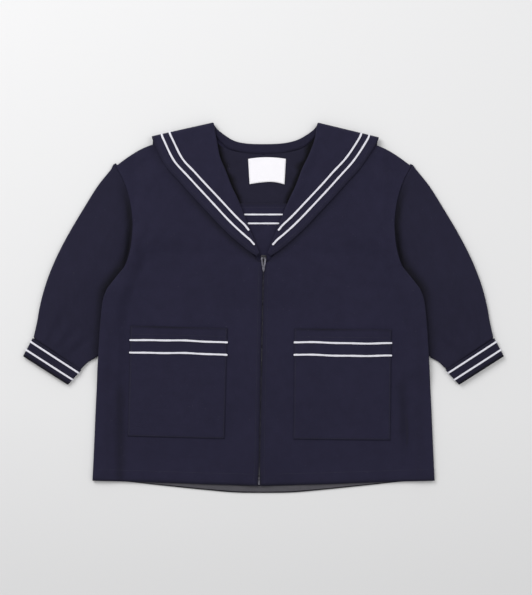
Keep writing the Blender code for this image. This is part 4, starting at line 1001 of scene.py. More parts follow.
# where painted shade darkens the back beside the roll on each side: middle y, half reach, extra width
backCut = {"size": (496.0, 526.0), "neckShares": (1.0, 0.7, collarCut["flapCorner"], 0.3, 0.14, 0.0),
           "shadeAt": {1: [(228.0, 9.0, 6.0), (205.0, 7.0, 5.0), (181.0, 6.0, 5.0), (163.0, 5.0, 3.0)],
                       -1: [(231.0, 12.0, 9.0), (207.0, 5.0, 3.0), (185.0, 7.0, 5.5), (160.0, 5.0, 3.0)]}}


def rollShade(x, y, side):
    beside = edgeX(rollLine, y) - x
    width = 6.5 + 1.5 * np.sin(y * 0.16 + side) + 1.0 * np.sin(y * 0.41)
    for middle, reach, extra in backCut["shadeAt"][side]:
        width = width + extra * bell(y, middle, reach)
    shade = 1.5 * np.clip((width - beside) / width, 0.0, 1.0) ** 0.9 * ease(y, 118.0, 165.0)
    return shade * ease(beside, -12.0, -5.0)


def backPanel():
    seam = []
    for share in backCut["neckShares"]:
        start, direction, _ = flapSection(share)
        seam.append(start + direction * (flapStand(share) + cutting["gap"]))
    neck = Curve(seam)
    neckY = seam[0][1]
    corner = panelCut["corner"] + (1.0 - panelCut["corner"]) * panelCut["neckCorner"]
    middle = (cutting["underarmY"] - cutting["backHemY"]) / (neckY - cutting["backHemY"])

    def innerEdge(share):
        part = np.interp(share, (0.0, panelCut["corner"], corner), (0.0, middle, 1.0))
        centre = np.stack([0.0 * part, cutting["backHemY"] + (neckY - cutting["backHemY"]) * part], -1)
        along = neck.at((share - corner) / (1.0 - corner))
        return np.where((share <= corner)[:, None], centre, along)

    def height(x, y):
        return backUnder(x, y) + creaseHeight("back", x, y) * ease(sideDistance(x, y), 4.0, 20.0)

    half = panelGrid(Curve(backHem).at, innerEdge, height, 1.0)
    cloth = half[..., :2].copy()
    half[:, 0, 0] = np.where(half[:, 0, 1] < neckY + 0.01, 0.0, half[:, 0, 0])
    pair = []
    for side in (1, -1):
        # painted shadow beside the collar's roll, and wear with painted shade along the hem
        folded = np.maximum(rollShade(*np.moveaxis(cloth, -1, 0), side), edgeShare(cloth, "b"))
        pair.append(gridObject("Back" if side > 0 else "backOther", flipped(half, side),
                               flipped(cloth, side), facing=(0.3, 0.5, (0, 0, -1)), edges=folded))
    bpy.ops.object.select_all(action="DESELECT")
    for part in pair:
        part.select_set(True)
    piece = pair[0]
    bpy.context.view_layer.objects.active = piece
    bpy.ops.object.join()
    form = bmesh.new()
    form.from_mesh(piece.data)
    bmesh.ops.remove_doubles(form, verts=form.verts, dist=2e-5)
    meshOf(form, piece.data).shade_smooth()
    thicken(piece, cutting["clothWall"])
    finish(piece, "inside", ["back"], backCut["size"], 2 * cutArea(half))


# the pale binding inside the back's hem, seen below the fronts
bindingCut = {"wide": 8.6, "from": 1.5, "reach": 232.0, "over": 0.42, "wall": 0.3,
              "shares": (0.0, 0.04, 0.3, 0.6, 0.96, 1.0), "drops": (0.16, 0.0, 0.0, 0.0, 0.0, 0.16)}


def hemBinding():
    places = spread(-bindingCut["reach"], bindingCut["reach"], 200)
    lows = readTable(backHem, np.abs(places)) + bindingCut["from"]
    y = lows[:, None] + bindingCut["wide"] * np.array(bindingCut["shares"])[None, :]
    x = np.broadcast_to(places[:, None], y.shape)
    z = backTop(x, y) + bindingCut["over"] - np.array(bindingCut["drops"])[None, :]
    points = np.stack([x, y, z], -1)
    laySheet("BackHemBinding", points, "binding", (), (bindingCut["wide"], 2.0 * bindingCut["reach"] + 4.0),
             ["Back"], bindingCut["wall"])


chestCut = {"size": (102.0, 104.0), "topHalf": 51.0, "topY": 149.5, "lowHalf": 22.0, "lowY": 46.0,
            "mouthBand": (9.0, 7.6, 0.25), "tapes": (133.8, 121.2), "tapeShare": 0.88, "underLapel": 0.4}
labelCut = {"middle": (5.0, 196.3), "size": (53.6, 35.6), "narrowing": 0.075, "arch": (2.3, 1.1),
            "wall": 0.7}


def dickeyTop(x, y):
    return backTop(x, y) + cutting["wideGap"] + cutting["clothWall"]


def chestPanel():
    up = spread(0.0, 1.0, 60)[:, None]
    half = chestCut["lowHalf"] + (chestCut["topHalf"] - chestCut["lowHalf"]) * up
    x = half * spread(-1.0, 1.0, 44)[None, :]
    y = chestCut["lowY"] + (chestCut["topY"] - chestCut["lowY"]) * up + 0.0 * x
    bandFrom, bandTo, bandRise = chestCut["mouthBand"]
    z = dickeyTop(x, y) + creaseHeight("dickey", x, y) * ease(y, 92.0, 104.0)
    points = np.stack([x, y, z + bandRise * ease(chestCut["topY"] - y, bandFrom, bandTo)], -1)
    # its top edge is mixed darker: painted shade
    laySheet("ChestPanel", points, "body", ["dickey"], chestCut["size"], ["Back"], edges="t")
    for number, tapeY in enumerate(chestCut["tapes"], start=1):
        reach = float(edgeX(rollLine, tapeY)) + chestCut["underLapel"]
        x = spread(-reach, reach, 30)
        y = np.full(len(x), tapeY)
        line = np.column_stack([x, y, dickeyTop(x, y) + creaseHeight("dickey", x, y)])
        tape(f"ChestTape{number}", line, upwards(line), [f"dickey_tape_{number}"], ["ChestPanel"],
             tapeCut["width"] * chestCut["tapeShare"])


def labelPlace(across, up):
    # the label narrows and arches, more so at its lower edge
    fromTop = 0.5 - up
    x = labelCut["middle"][0] + labelCut["size"][0] * across * (1.0 - labelCut["narrowing"] * fromTop)
    arch = (labelCut["arch"][0] + labelCut["arch"][1] * fromTop) * (0.5 - 4.0 * across * across)
    return x, labelCut["middle"][1] + labelCut["size"][1] * up + arch + 0.4 * np.sin(across * 7.0) * fromTop


def neckLabel():
    across = spread(-0.5, 0.5, 26)[None, :]
    up = spread(-0.5, 0.5, 20)[:, None]
    x, y = labelPlace(across, up)
    inside = ease(np.maximum(np.abs(across), np.abs(up)), 0.5, 0.3)
    z = backTop(x, y) + cutting["gap"] + 0.9 + 0.12 * np.sin(across * 9.0 + 1.0) * inside
    points = np.stack([x, y, z], -1)
    laySheet("NeckLabel", points, "label", ["label"], labelCut["size"], ["Back"], labelCut["wall"], None,
             edges="lrbt")


pocketCut = {"size": (139.0, 159.0), "nearX": 47.6, "farX": 185.6, "topY": -27.3, "bottomY": -185.0,
             "tilt": {1: -0.6, -1: -1.5}, "offset": 1.5, "hemBand": 14.0, "hemStep": 1.4, "hemRise": 0.35,
             "edgeDown": {1: 0.6, -1: 0.85}, "tapes": (19.8, 37.6), "tapeOver": 0.9}
pocketDepth = pocketCut["topY"] - pocketCut["bottomY"]


def pocketPlace(side, run, drop):
    tilt = math.radians(pocketCut["tilt"][side])
    centre = (pocketCut["nearX"] + pocketCut["farX"]) / 2.0
    middleY = (pocketCut["topY"] + pocketCut["bottomY"]) / 2.0
    x = side * (run - centre)
    return (side * centre + zipX(middleY) + (x * math.cos(tilt) + drop * math.sin(tilt)),
            pocketCut["topY"] + (x * math.sin(tilt) - drop * math.cos(tilt)) - pocketCut["offset"] * side)


def pocketLaid(side, run, drop):
    # a place on the pocket's outer face, by the run from the zip and the drop from the mouth
    x, y = pocketPlace(side, run, drop)
    base = frontLaid(x, y) + cutting["gap"] + cutting["clothWall"]
    hemBand = pocketCut["hemBand"]
    band = pocketCut["hemRise"] * ease(drop, hemBand, hemBand - pocketCut["hemStep"])
    return np.stack([x, y, base + band + creaseHeight("pocket", x, y) * 0.6], -1)


def pocket(name, side):
    drop, run = np.meshgrid(spread(pocketDepth, 0.0, 68), spread(pocketCut["nearX"], pocketCut["farX"], 60),
                            indexing="ij")
    points = pocketLaid(side, run, drop)
    cloth = points[..., :2]
    points[..., 2] -= pocketCut["edgeDown"][side] * edgeShare(cloth, "lrb", 3.0)
    # painted shadow along the pocket's mouth, varying along it, and faint painted shade along its other edges
    mouth = 0.45 + 0.55 * bell(run, 110.0 - 22.0 * side, 38.0)
    folded = np.maximum(0.12 * edgeShare(cloth, "lrb", 4.0), mouth * edgeShare(cloth, "t", 4.2))
    laySheet("Pocket" + name, points, "pocket", ["pocket_" + name.lower()], pocketCut["size"],
             ["Front" + name], edges=folded)
    paths = []
    over = pocketCut["tapeOver"]
    runs = spread(pocketCut["nearX"] - over, pocketCut["farX"] + over, 80)
    for number, tapeDrop in enumerate(pocketCut["tapes"], start=1):
        wave = np.sin(runs * 0.047 + side + 0.4 * number) + 0.4 * np.sin(runs * 0.12 + 2.0 * side)
        line = pocketLaid(side, runs, tapeDrop + tapeCut["wave"] * wave)
        tape(f"Pocket{name}Tape{number}", line, upwards(line), [f"pocket_tape_{name.lower()}_{number}"],
             ["Pocket" + name])
        paths.append((line, upwards(line)))
    return paths


# Sleeves and cuffs are tubes, placed by share across (0 outer, 1 inner) and share down (0 body, 1 hand).
sleeveCut = {
    "size": (330.0, 300.0), "roundOuter": 2.15, "roundInner": 2.0, "mouthGap": 0.7, "wall": 0.8,
    "tuckShift": (-20.0, 7.0), "tuckFromY": 96.0, "gathers": 5, "acrossCount": 50, "foldCount": 8,
    "stretch": {1: 1.7, -1: 1.9}, "capEnd": {1: 0.6, -1: 1.9}, "creaseShift": {1: 0.0, -1: 0.02},
    # seam allowances: reach into the body; reach and height share into the cuff, about its middle height
    "mouthLips": (4.0, 1.0), "handLips": ((0.7, 0.62), (3.6, 0.42)), "handMiddle": 3.6,
    "handSpan": (1.3, 5.9), "facing": (0.3, 0.22, (0, 0, 1)),
}
sleeveOuter = [(212.8, 203.6), (223.0, 191.3), (236.4, 174.3), (257.7, 140.2), (277.6, 106.1),
               (294.7, 72.1), (308.0, 38.0), (317.0, 4.0), (321.0, -20.0), (325.4, -40.9)]
sleeveInner = [(202.0, 36.0), (210.5, 17.0), (215.0, -8.0), (217.5, -35.0), (226.0, -59.0),
               (237.0, -69.8), (247.5, -76.0), (258.2, -86.3)]
cuffCut = {"size": (184.0, 27.0), "round": 2.3, "lift": 1.3, "depth": 28.9, "tapes": (5.6, 18.8),
           "tapePlaces": (-0.5, -0.44, -0.30, 0.0, 0.30, 0.44, 0.5),
           "tapeLifts": (-0.35, -0.06, 0.0, 0.08, 0.0, -0.06, -0.35)}
cuffOuter = [(326.6, -42.0), (340.2, -67.5)]
cuffInner = [(257.4, -87.4), (276.5, -108.3)]


def sleeveRounds(down):
    outer = sleeveCut["roundOuter"] + 1.2 * bell(down, 0.62, 0.25) * ease(down, 0.0, 0.3) + 0.15 * down
    return outer, sleeveCut["roundInner"] + 0.3 * ease(down, 0.86, 1.0)


def sleeveRise(across, down, side):
    outer, inner = sleeveRounds(down)
    level = 2.0 * (inner + (outer - inner) * ease(across, 0.8, 0.1))
    crown = ease(across, 0.0, 0.35) * ease(across, 0.82, 0.45)
    puff = 1.6 * crown * ease(down, 0.0, 0.3) * ease(down, 1.05, 0.8)
    capFold = 1.3 * bell(down, 0.16, 0.07) * ease(across, 0.1, 0.4) * ease(across, 0.66, 0.5)
    dimple = 1.5 * bell(down, 0.8, 0.09) * bell(across, 0.42, 0.16)
    elbow = 1.0 * bell(down, 0.55, 0.10) * bell(across, 0.2, 0.15)
    wave = 1.0 + np.cos(2.0 * math.pi * sleeveCut["gathers"] * across + 0.8)
    gather = 0.45 * ease(down, 0.78, 0.97) * crown * wave
    shift = sleeveCut["creaseShift"][side]
    crease = 0.0
    for middleAcross, middleDown, longDown, wideAcross, rise in creases["sleeve"]:
        bend = middleAcross + shift + 0.35 * (down - middleDown) * (0.5 - middleAcross)
        bump = bell(across, bend, wideAcross) * bell(down, middleDown + shift, longDown)
        crease = crease + creaseScale["sleeve"] * rise * bump
    settle = ease(across, 0.0, 0.12) * ease(across, 1.0, 0.88)
    settle = settle * ease(down, 0.0, 0.06) * ease(down, 1.0, 0.965)
    underarm = ease(across, 0.58, 0.72) * ease(down, 0.78, 0.68)
    valley = -2.4 * bell(down, 0.030, 0.032) * ease(across, 0.06, 0.30) * ease(across, 0.84, 0.62)
    return valley + level + puff + capFold - dimple + elbow + gather + crease * settle * (1.0 - underarm)


def cuffRise(across, down, side):
    ripple = 0.12 * np.sin(across * 21.0 + side) * ease(down, 0.5, 0.0)
    ripple = ripple * ease(across, 0.0, 0.1) * ease(across, 1.0, 0.9)
    return 2.0 * cuffCut["round"] + 0.5 * np.sin(math.pi * across) + ripple


def straight(start, end):
    def at(across):
        return start * (1.0 - across)[:, None] + end * across[:, None]
    return at


def tubeEdges(outerRows, innerRows, rounds, seamEnd=None):
    # the outer and the inner fold of a tube, set in by their rounding, and its straight lower end
    outerCurve = Curve(outerRows)
    innerCurve = Curve(innerRows)

    def outer(down):
        inset = np.reshape(rounds(down)[0], (-1, 1)) - (seamEnd(down) if seamEnd else 0.0)
        return outerCurve.at(down) - outerCurve.left(down) * inset

    def inner(down):
        return innerCurve.at(down) + innerCurve.left(down) * np.reshape(rounds(down)[1], (-1, 1))

    ends = np.array([0.0, 1.0])
    return outer, inner, straight(outer(ends)[1], inner(ends)[1]), straight(outer(ends)[0], inner(ends)[0])


def sleeveFrame(side):
    arm = Curve(armhole)
    outer, inner, end, _ = tubeEdges(
        sleeveOuter, sleeveInner, sleeveRounds,
        lambda down: sleeveCut["capEnd"][side] * np.reshape(ease(down, 0.026, 0.002), (-1, 1)))

    def tucked(share):
        place = arm.at(share) - arm.left(share) * sleeveCut["mouthGap"]
        tuck = np.maximum(sleeveCut["tuckFromY"] - place[:, 1], 0.0)
        tuck = tuck / (sleeveCut["tuckFromY"] - armhole[0][1])
        return place + np.array(sleeveCut["tuckShift"]) * (tuck ** 2)[:, None]

    ends = np.array([0.0, 1.0])
    startShift = outer(ends)[0] - tucked(ends)[1]
    endShift = inner(ends)[0] - tucked(ends)[0]

    def mouth(across):
        return (tucked(1.0 - across) + startShift * ease(across, 0.10, 0.0)[:, None]
                + endShift * ease(across, 0.86, 1.0)[:, None])

    return outer, inner, mouth, end


def tubeGrid(edges, rounds, rise, lift, rows, side):
    # rings round a flat tube: its top, the inner fold, its underside and the outer fold
    outer, inner, mouth, end = edges
    across = spread(0.0, 1.0, sleeveCut["acrossCount"])
    downGrid, acrossGrid = np.meshgrid(rows, across, indexing="ij")
    lines = patch(across, rows, mouth, end, outer, inner)
    lifts = np.broadcast_to(lift, rows.shape)[:, None]
    top = np.concatenate([lines, (lifts + rise(acrossGrid, downGrid, side))[..., None]], 2)
    under = np.concatenate([lines[:, ::-1], (lifts + 0.0 * acrossGrid)[..., None]], 2)

    def fold(line, back, rounding, turns):
        radius = np.broadcast_to(rounding, rows.shape)[:, None]
        reach = radius * np.sin(turns)[None, :]
        flat = line[:, None, :] + unit(line - back)[:, None, :] * reach[..., None]
        z = lifts + radius * (1.0 + np.cos(turns)[None, :])
        return np.concatenate([flat, z[..., None]], 2)

    turns = math.pi * spread(0.0, 1.0, sleeveCut["foldCount"] + 1)[1:-1]
    innerFold = fold(lines[:, -1], lines[:, -4], rounds[1], turns)
    outerFold = fold(lines[:, 0], lines[:, 3], rounds[0], turns[::-1])
    ring = np.concatenate([top, innerFold, under, outerFold, top[:, :1]], 1)
    ring[..., 0] += sleeveCut["stretch"][side] * ease(ring[..., 1], 150.0, -50.0)
    ring = flipped(ring, side)
    around = runOf(ring, 1)
    cloth = np.stack([around, np.broadcast_to(runOf(lines[:, 20])[:, None], around.shape)], -1)
    return ring, cloth


def addLips(ring, cloth, side):
    # seam allowances: the mouth runs on inside the body, the end inside the cuff
    share = spread(0.0, 1.0, sleeveCut["acrossCount"])
    folds = np.ones(sleeveCut["foldCount"] - 1)
    around = np.concatenate([share, folds, share[::-1], 0.0 * folds, [0.0]])
    inward = Curve(armhole).left(1.0 - around) * np.array([side, 1.0])
    first, last = ring[0], ring[-1]
    rows = []
    flats = []
    for reach in sleeveCut["mouthLips"]:
        row = first.copy()
        row[:, :2] += inward * reach
        x, y, z = row.T
        above = frontUnder(side * x, y) - 0.15
        below = np.minimum(backTop(x, y) + 0.15, above)
        row[:, 2] = np.where(z > backUnder(x, y) + 0.4, np.clip(z, below, above), z)
        rows.append(row)
        flats.append(cloth[0] - np.array([0.0, reach]))
    rows += list(ring)
    flats += list(cloth)
    middle = (last.max(axis=0) + last.min(axis=0)) / 2.0
    ahead = unit((last - ring[-4])[:, :2])
    for reach, level in sleeveCut["handLips"]:
        row = last.copy()
        row[:, :2] = middle[:2] + (row[:, :2] - middle[:2]) * 0.975 + ahead * reach
        height = np.clip(row[:, 2], *sleeveCut["handSpan"]) - sleeveCut["handMiddle"]
        row[:, 2] = sleeveCut["handMiddle"] + height * level
        rows.append(row)
        flats.append(cloth[-1] + np.array([0.0, reach]))
    return np.array(rows), np.array(flats)


def sleeve(name, side):
    rows = np.concatenate([spread(0.0, 0.72, 58), spread(0.72, 1.0, 40)[1:]])
    lift = cuffCut["lift"] * ease(rows, 0.86, 0.99)
    tube, flat = tubeGrid(sleeveFrame(side), sleeveRounds(rows), sleeveRise, lift, rows, side)
    ring, cloth = addLips(tube, flat, side)
    x, y = side * ring[..., 0], ring[..., 1]
    fromBody = x - edgeX(sideEdge + armhole[1:], y)
    # painted shade: a dark band on the sleeve beside the body's edge, fading towards the shoulder, and a
    # little towards the cuff
    folded = bell(fromBody, 3.0, 6.0 + 4.0 * bell(y, 45.0, 26.0)) * ease(y, 200.0, 128.0)
    folded = folded * (0.42 + 0.43 * ease(y, -6.0, 40.0))
    folded = np.maximum(folded, 0.15 * edgeShare(cloth, "t", 8.0))
    laySheet("Sleeve" + name, ring, "sleeve", ["sleeve_" + name.lower()], sleeveCut["size"], ["floor"],
             sleeveCut["wall"], cutArea(tube), cloth=cloth, closed=True, facing=sleeveCut["facing"],
             edges=folded)


def cuffTube(rows, side):
    rounds = (cuffCut["round"], cuffCut["round"])
    outer, inner, end, mouth = tubeEdges(cuffOuter, cuffInner, lambda down: rounds)
    return tubeGrid((outer, inner, mouth, end), rounds, cuffRise, cuffCut["lift"], rows, side)


def cuff(name, side):
    ring, cloth = cuffTube(spread(0.0, 1.0, 14), side)
    # painted shade with wear: strong along the cuff's hand end, faint along its seam to the sleeve
    folded = np.maximum(0.15 * edgeShare(cloth, "b"), 0.9 * edgeShare(cloth, "t"))
    laySheet("Cuff" + name, ring, "sleeve", ["cuff_" + name.lower()], cuffCut["size"],
             [f"Cuff{name}Tape1", f"Cuff{name}Tape2"], cloth=cloth, closed=True, facing=sleeveCut["facing"],
             edges=folded)
    for number, centre in enumerate(cuffCut["tapes"], start=1):
        rows = (centre + np.array(cuffCut["tapePlaces"]) * tapeCut["width"]) / cuffCut["depth"]
        ring, cloth = cuffTube(rows, side)
        out = unit(np.cross((ring[-1] - ring[0])[None, :, :], np.gradient(ring, axis=1)) * side)
        out[:, 0] = out[:, -1] = (out[:, 0] + out[:, -1]) / 2.0
        if np.median(out[3, 5:40, 2]) < 0:
            out = -out
        ring = ring + out * (tapeCut["rise"] + np.array(cuffCut["tapeLifts"]))[:, None, None]
        ring[..., 2] = np.maximum(ring[..., 2], 0.0)
        cloth = (cloth - np.array([0.0, float(cloth[3, 0, 1])]))[..., ::-1]
        laySheet(f"Cuff{name}Tape{number}", ring, "tape", [f"cuff_tape_{name.lower()}_{number}"],
                 (tapeCut["width"], cuffCut["size"][0]), ["Cuff" + name], tapeCut["wall"], cloth=cloth,
                 closed=True, facing=(0.5, 0.22, (0, 0, 1)))


zipCut = {"chainHalf": 1.5, "tapeWidth": 11.0, "tapeWall": 1.0, "sliderFromY": 67.5, "sliderToY": 76.3,
          "sliderHeight": 2.5, "pivotY": 71.7, "pivotAbove": 1.8, "boxLength": 11.0, "toothPitch": 1.5,
          "toothFrom": 0.6, "toothX": 0.42, "toothZ": 0.75, "archRadius": 2.1, "archFoot": -2.3,
          "archWire": 0.45}
# y and z from the box's lower end, size and bevel of its two blocks
boxBlocks = [((5.5, 0.9), (2.8, 11.0, 1.8), 0.35), ((8.8, 1.35), (2.2, 0.9, 1.0), 0.15)]
# the slider seen from above, and its layers: from and to z, share in x, share in y, bevel
sliderOutline = [(-2.9, -4.4), (2.9, -4.4), (3.6, -3.4), (4.0, 0.5), (4.0, 2.6), (3.2, 4.4), (-3.2, 4.4),
                 (-4.0, 2.6), (-4.0, 0.5), (-3.6, -3.4)]
sliderLayers = [(0.0, 0.95, 1.0, 1.0, 0.3), (0.95, 1.55, 0.42, 0.9, 0.0), (1.55, 2.5, 1.0, 1.0, 0.3)]
# the pull from its pivot: half width times a share, y; then the slot
pullCut = {"half": 3.6, "thick": 0.36, "rim": 0.27, "sharp": 50.0}
pullEdge = [(-0.72, 1.1), (0.72, 1.1), (0.96, 0.2), (1.0, -1.2), (0.92, -4.5), (0.62, -11.0), (0.42, -16.5),
            (0.22, -18.9), (0.0, -19.4), (-0.22, -18.9), (-0.42, -16.5), (-0.62, -11.0), (-0.92, -4.5),
            (-1.0, -1.2), (-0.96, 0.2)]
pullSlot = [(-0.95, -0.75), (0.95, -0.75), (1.05, -2.5), (0.7, -8.5), (0.0, -10.0), (-0.7, -8.5),
            (-1.05, -2.5)]


def zipBase(y):
    onChest = (cutting["wideGap"] + cutting["clothWall"]) * ease(y, 0.0, 44.0)
    return backTop(0.0 * y, y) + onChest + cutting["gap"]


pivotBase = float(zipBase(np.array(zipCut["pivotY"])))
pivotZ = pivotBase + zipCut["sliderHeight"] + zipCut["pivotAbove"]


def hardPiece(name, mesh, look, nodes=(), sharp=38.0, body="jacket"):
    # a piece from a mesh, its corners kept sharp
    mesh.shade_smooth()
    mesh.set_sharp_from_angle(angle=math.radians(sharp))
    finish(newObject(name, mesh, body), look, nodes)


def formPiece(name, form, look, nodes=()):
    hardPiece(name, meshOf(form, bpy.data.meshes.new(name)), look, nodes)


def addBlock(form, centre, size, turn=0.0, bevel=0.0):
    scale = Matrix.Diagonal((*[value * mm for value in size], 1.0))
    place = Matrix.Translation(Vector(centre) * mm) @ Matrix.Rotation(turn, 4, "Z") @ scale
    made = bmesh.ops.create_cube(form, size=1.0, matrix=place)["verts"]
    if bevel:
        edges = list(dict.fromkeys(edge for vertex in made for edge in vertex.link_edges))
        bmesh.ops.bevel(form, geom=edges, offset=bevel * mm, segments=1, affect="EDGES")


def zipTapesAndTeeth():
    lowY = cutting["frontHemY"] + 1.0
    highY = zipCut["sliderFromY"] - cutting["gap"]
    beside = zipCut["chainHalf"] + cutting["gap"]
    far = beside + zipCut["tapeWidth"]
    rows = spread(lowY, highY, 120)
    for name, start, end in (("Left", beside, far), ("Right", -far, -beside)):
        x = zipX(rows)[:, None] + spread(start, end, 7)[None, :]
        z = zipBase(rows)[:, None] + 0.1 + zipCut["tapeWall"] + 0.0 * x
        points = np.stack([x, rows[:, None] + 0.0 * x, z], -1)
        laySheet("ZipTape" + name, points, "zipTape", ["zip_tape_" + name.lower()],
                 (zipCut["tapeWidth"], float(highY - lowY)), ["Back", "ChestPanel"], zipCut["tapeWall"], None)
    form = bmesh.new()
    chainLow = lowY + zipCut["boxLength"] + cutting["gap"]
    for index in range(int((highY - chainLow) / zipCut["toothPitch"])):
        y = chainLow + zipCut["toothFrom"] + index * zipCut["toothPitch"]
        side = 1 if index % 2 else -1
        x = float(zipX(y)) + side * zipCut["toothX"]
        z = float(zipBase(np.array(y))) + zipCut["toothZ"]
        addBlock(form, (x, y, z), (2.1, 1.05, 1.35), 0.05 * side, 0.2)
        addBlock(form, (x - side * 0.75, y, z), (0.55, 1.3, 1.5))
    formPiece("ZipTeeth", form, "teeth", ["zip_chain"])
    form = bmesh.new()
    base = float(zipBase(np.array(lowY)))
    for (y, z), size, bevel in boxBlocks:
        addBlock(form, (float(zipX(lowY)), lowY + y, base + z), size, 0.0, bevel)
    formPiece("ZipBox", form, "silver", ["zip_box"])


def curveMesh(name, lines, closed, **settings):
    data = bpy.data.curves.new(name, "CURVE")
    for key, setting in settings.items():
        setattr(data, key, setting)
    for rows in lines:
        spline = data.splines.new("POLY")
        spline.points.add(len(rows) - 1)
        spline.use_cyclic_u = closed
        for point, row in zip(spline.points, rows):
            point.co = (*[value * mm for value in row], 1.0)
    holder = newObject(name, data, None)
    bpy.context.view_layer.update()
    mesh = bpy.data.meshes.new_from_object(holder.evaluated_get(bpy.context.evaluated_depsgraph_get()))
    bpy.data.objects.remove(holder)
    return mesh


def slider():
    # a crowned body with a raised plate, and the arch that holds the pull
    middleY = (zipCut["sliderFromY"] + zipCut["sliderToY"]) / 2.0
    form = bmesh.new()
    for lowZ, highZ, shareX, shareY, bevel in sliderLayers:
        corners = [form.verts.new((x * shareX * mm, (middleY + y * shareY) * mm, (pivotBase + lowZ) * mm))
                   for x, y in sliderOutline]
        made = bmesh.ops.extrude_face_region(form, geom=[form.faces.new(corners)])
        raised = [item for item in made["geom"] if isinstance(item, bmesh.types.BMVert)]
        bmesh.ops.translate(form, verts=raised, vec=(0.0, 0.0, (highZ - lowZ) * mm))
        if bevel:
            rim = [item for item in made["geom"] if isinstance(item, bmesh.types.BMEdge)]
            bmesh.ops.bevel(form, geom=rim, offset=bevel * mm, segments=2, affect="EDGES")
    bmesh.ops.recalc_face_normals(form, faces=form.faces)
    radius = zipCut["archRadius"]
    bend = [(radius * math.cos(turn), radius * math.sin(turn)) for turn in spread(math.pi, 0.0, 15)]
    arch = [(-radius, zipCut["archFoot"]), *bend, (radius, zipCut["archFoot"])]
    wire = curveMesh("arch", [[(0.0, zipCut["pivotY"] + along, pivotZ + up) for along, up in arch]], False,
                     dimensions="3D", bevel_depth=zipCut["archWire"] * mm, bevel_resolution=3,
                     use_fill_caps=True)
    form.from_mesh(wire)
    bpy.data.meshes.remove(wire)
    formPiece("ZipSlider", form, "black", ["zip_slider"])


def pullTab():
    # a teardrop pull with a rounded rim and a long slot round the arch
    edge = [(x * pullCut["half"], y, 0.0) for x, y in pullEdge]
    mesh = curveMesh("pull", [edge, [(x, y, 0.0) for x, y in pullSlot]], True, dimensions="2D",
                     fill_mode="BOTH", extrude=pullCut["thick"] * mm, bevel_depth=pullCut["rim"] * mm,
                     bevel_resolution=3, offset=-pullCut["rim"] * mm)
    mesh.transform(Matrix.Translation(Vector((0.0, zipCut["pivotY"], pivotZ)) * mm))
    hardPiece("ZipPull", mesh, "silver", ["zip_pull_tab"], pullCut["sharp"], "pull_tab")


stitchCut = {"length": 2.3, "space": 0.9, "thick": 0.32, "first": 0.6, "sections": (0.0, 0.25, 0.75, 1.0),
             "lifts": (-0.12, 0.10, 0.10, -0.12), "swell": (0.5, 1.0, 1.0, 0.5)}
# how far each line of stitches lies from its edge
seamFrom = {"frontHem": 16.2, "backHem": 15.0, "zip": 6.2, "lapel": 4.5, "pocket": 2.0, "tape": 1.0,
            "label": 1.6}


def stitchLine(form, points, ups=None):
    # one run of short rounded stitches along a line, sunk a little at both ends
    ups = upwards(points) if ups is None else ups
    run = runOf(points)
    sections = np.array(stitchCut["sections"]) * stitchCut["length"]
    lifts = stitchCut["lifts"]
    radii = np.array(stitchCut["swell"]) * stitchCut["thick"] / 2.0
    corners = np.radians([45.0, 135.0, 225.0, 315.0])
    for start in np.arange(stitchCut["first"], run[-1] - stitchCut["length"],
                           stitchCut["length"] + stitchCut["space"]):
        line = readLine(start + sections, run, points)
        up = unit(readLine(start + sections, run, ups))
        across = np.cross(unit(line[-1] - line[0]), up)
        rings = []
        for index in range(4):
            places = [line[index] + up[index] * (lifts[index] + radii[index] * math.sin(corner))
                      + across[index] * radii[index] * math.cos(corner) for corner in corners]
            rings.append([form.verts.new(Vector(place) * mm) for place in places])
        for near, far in zip(rings[:-1], rings[1:]):
            for index in range(4):
                after = (index + 1) % 4
                form.faces.new((near[index], near[after], far[after], far[index]))
        form.faces.new(rings[0][::-1])
        form.faces.new(rings[-1])


def laidLine(places, height, over=0.0):
    # a line over the cloth in even steps, dropped onto the given height
    run = runOf(places)
    x, y = readLine(spread(0.0, run[-1], max(int(run[-1] / 2.0), 2)), run, places).T
    return np.column_stack([x, y, height(x, y) + over])


def frontSewing(form, side):
    # hem, zip, pocket and lapel of one front
    hemX = spread(12.0 + abs(float(zipX(-235.0))) * (side > 0), 238.0, 60)
    hemRows = np.column_stack([side * hemX, readTable(frontHem, hemX) + seamFrom["frontHem"]])
    stitchLine(form, laidLine(hemRows, frontLaid, panelCut["hemRise"]))
    zipY = spread(-250.0, 60.0, 90)
    fromZip = readTable(zipHalfGap, zipY) + seamFrom["zip"]
    stitchLine(form, laidLine(np.column_stack([zipX(zipY) + side * fromZip, zipY]), frontLaid,
                              frontCut["placket"][2]))
    inset = seamFrom["pocket"]
    near, far = pocketCut["nearX"] + inset, pocketCut["farX"] - inset
    low, band = pocketDepth - inset, pocketCut["hemBand"] - inset
    for start, end in (((near, 0.6), (near, low)), ((near, low), (far, low)), ((far, low), (far, 0.6)),
                       ((near, band), (far, band))):
        stitchLine(form, pocketLaid(side, spread(start[0], end[0], 60), spread(start[1], end[1], 60)))
    rows = []
    for share in spread(0.97, 0.02, 120):
        start, direction, _ = lapelSection(share)
        run = lapelRun(share, seamFrom["lapel"])
        if run > 2.0:
            x, y = start + direction * run
            rows.append((side * x, y, float(lapelLaid(x, y, run))))
    stitchLine(form, collarSat(rows))


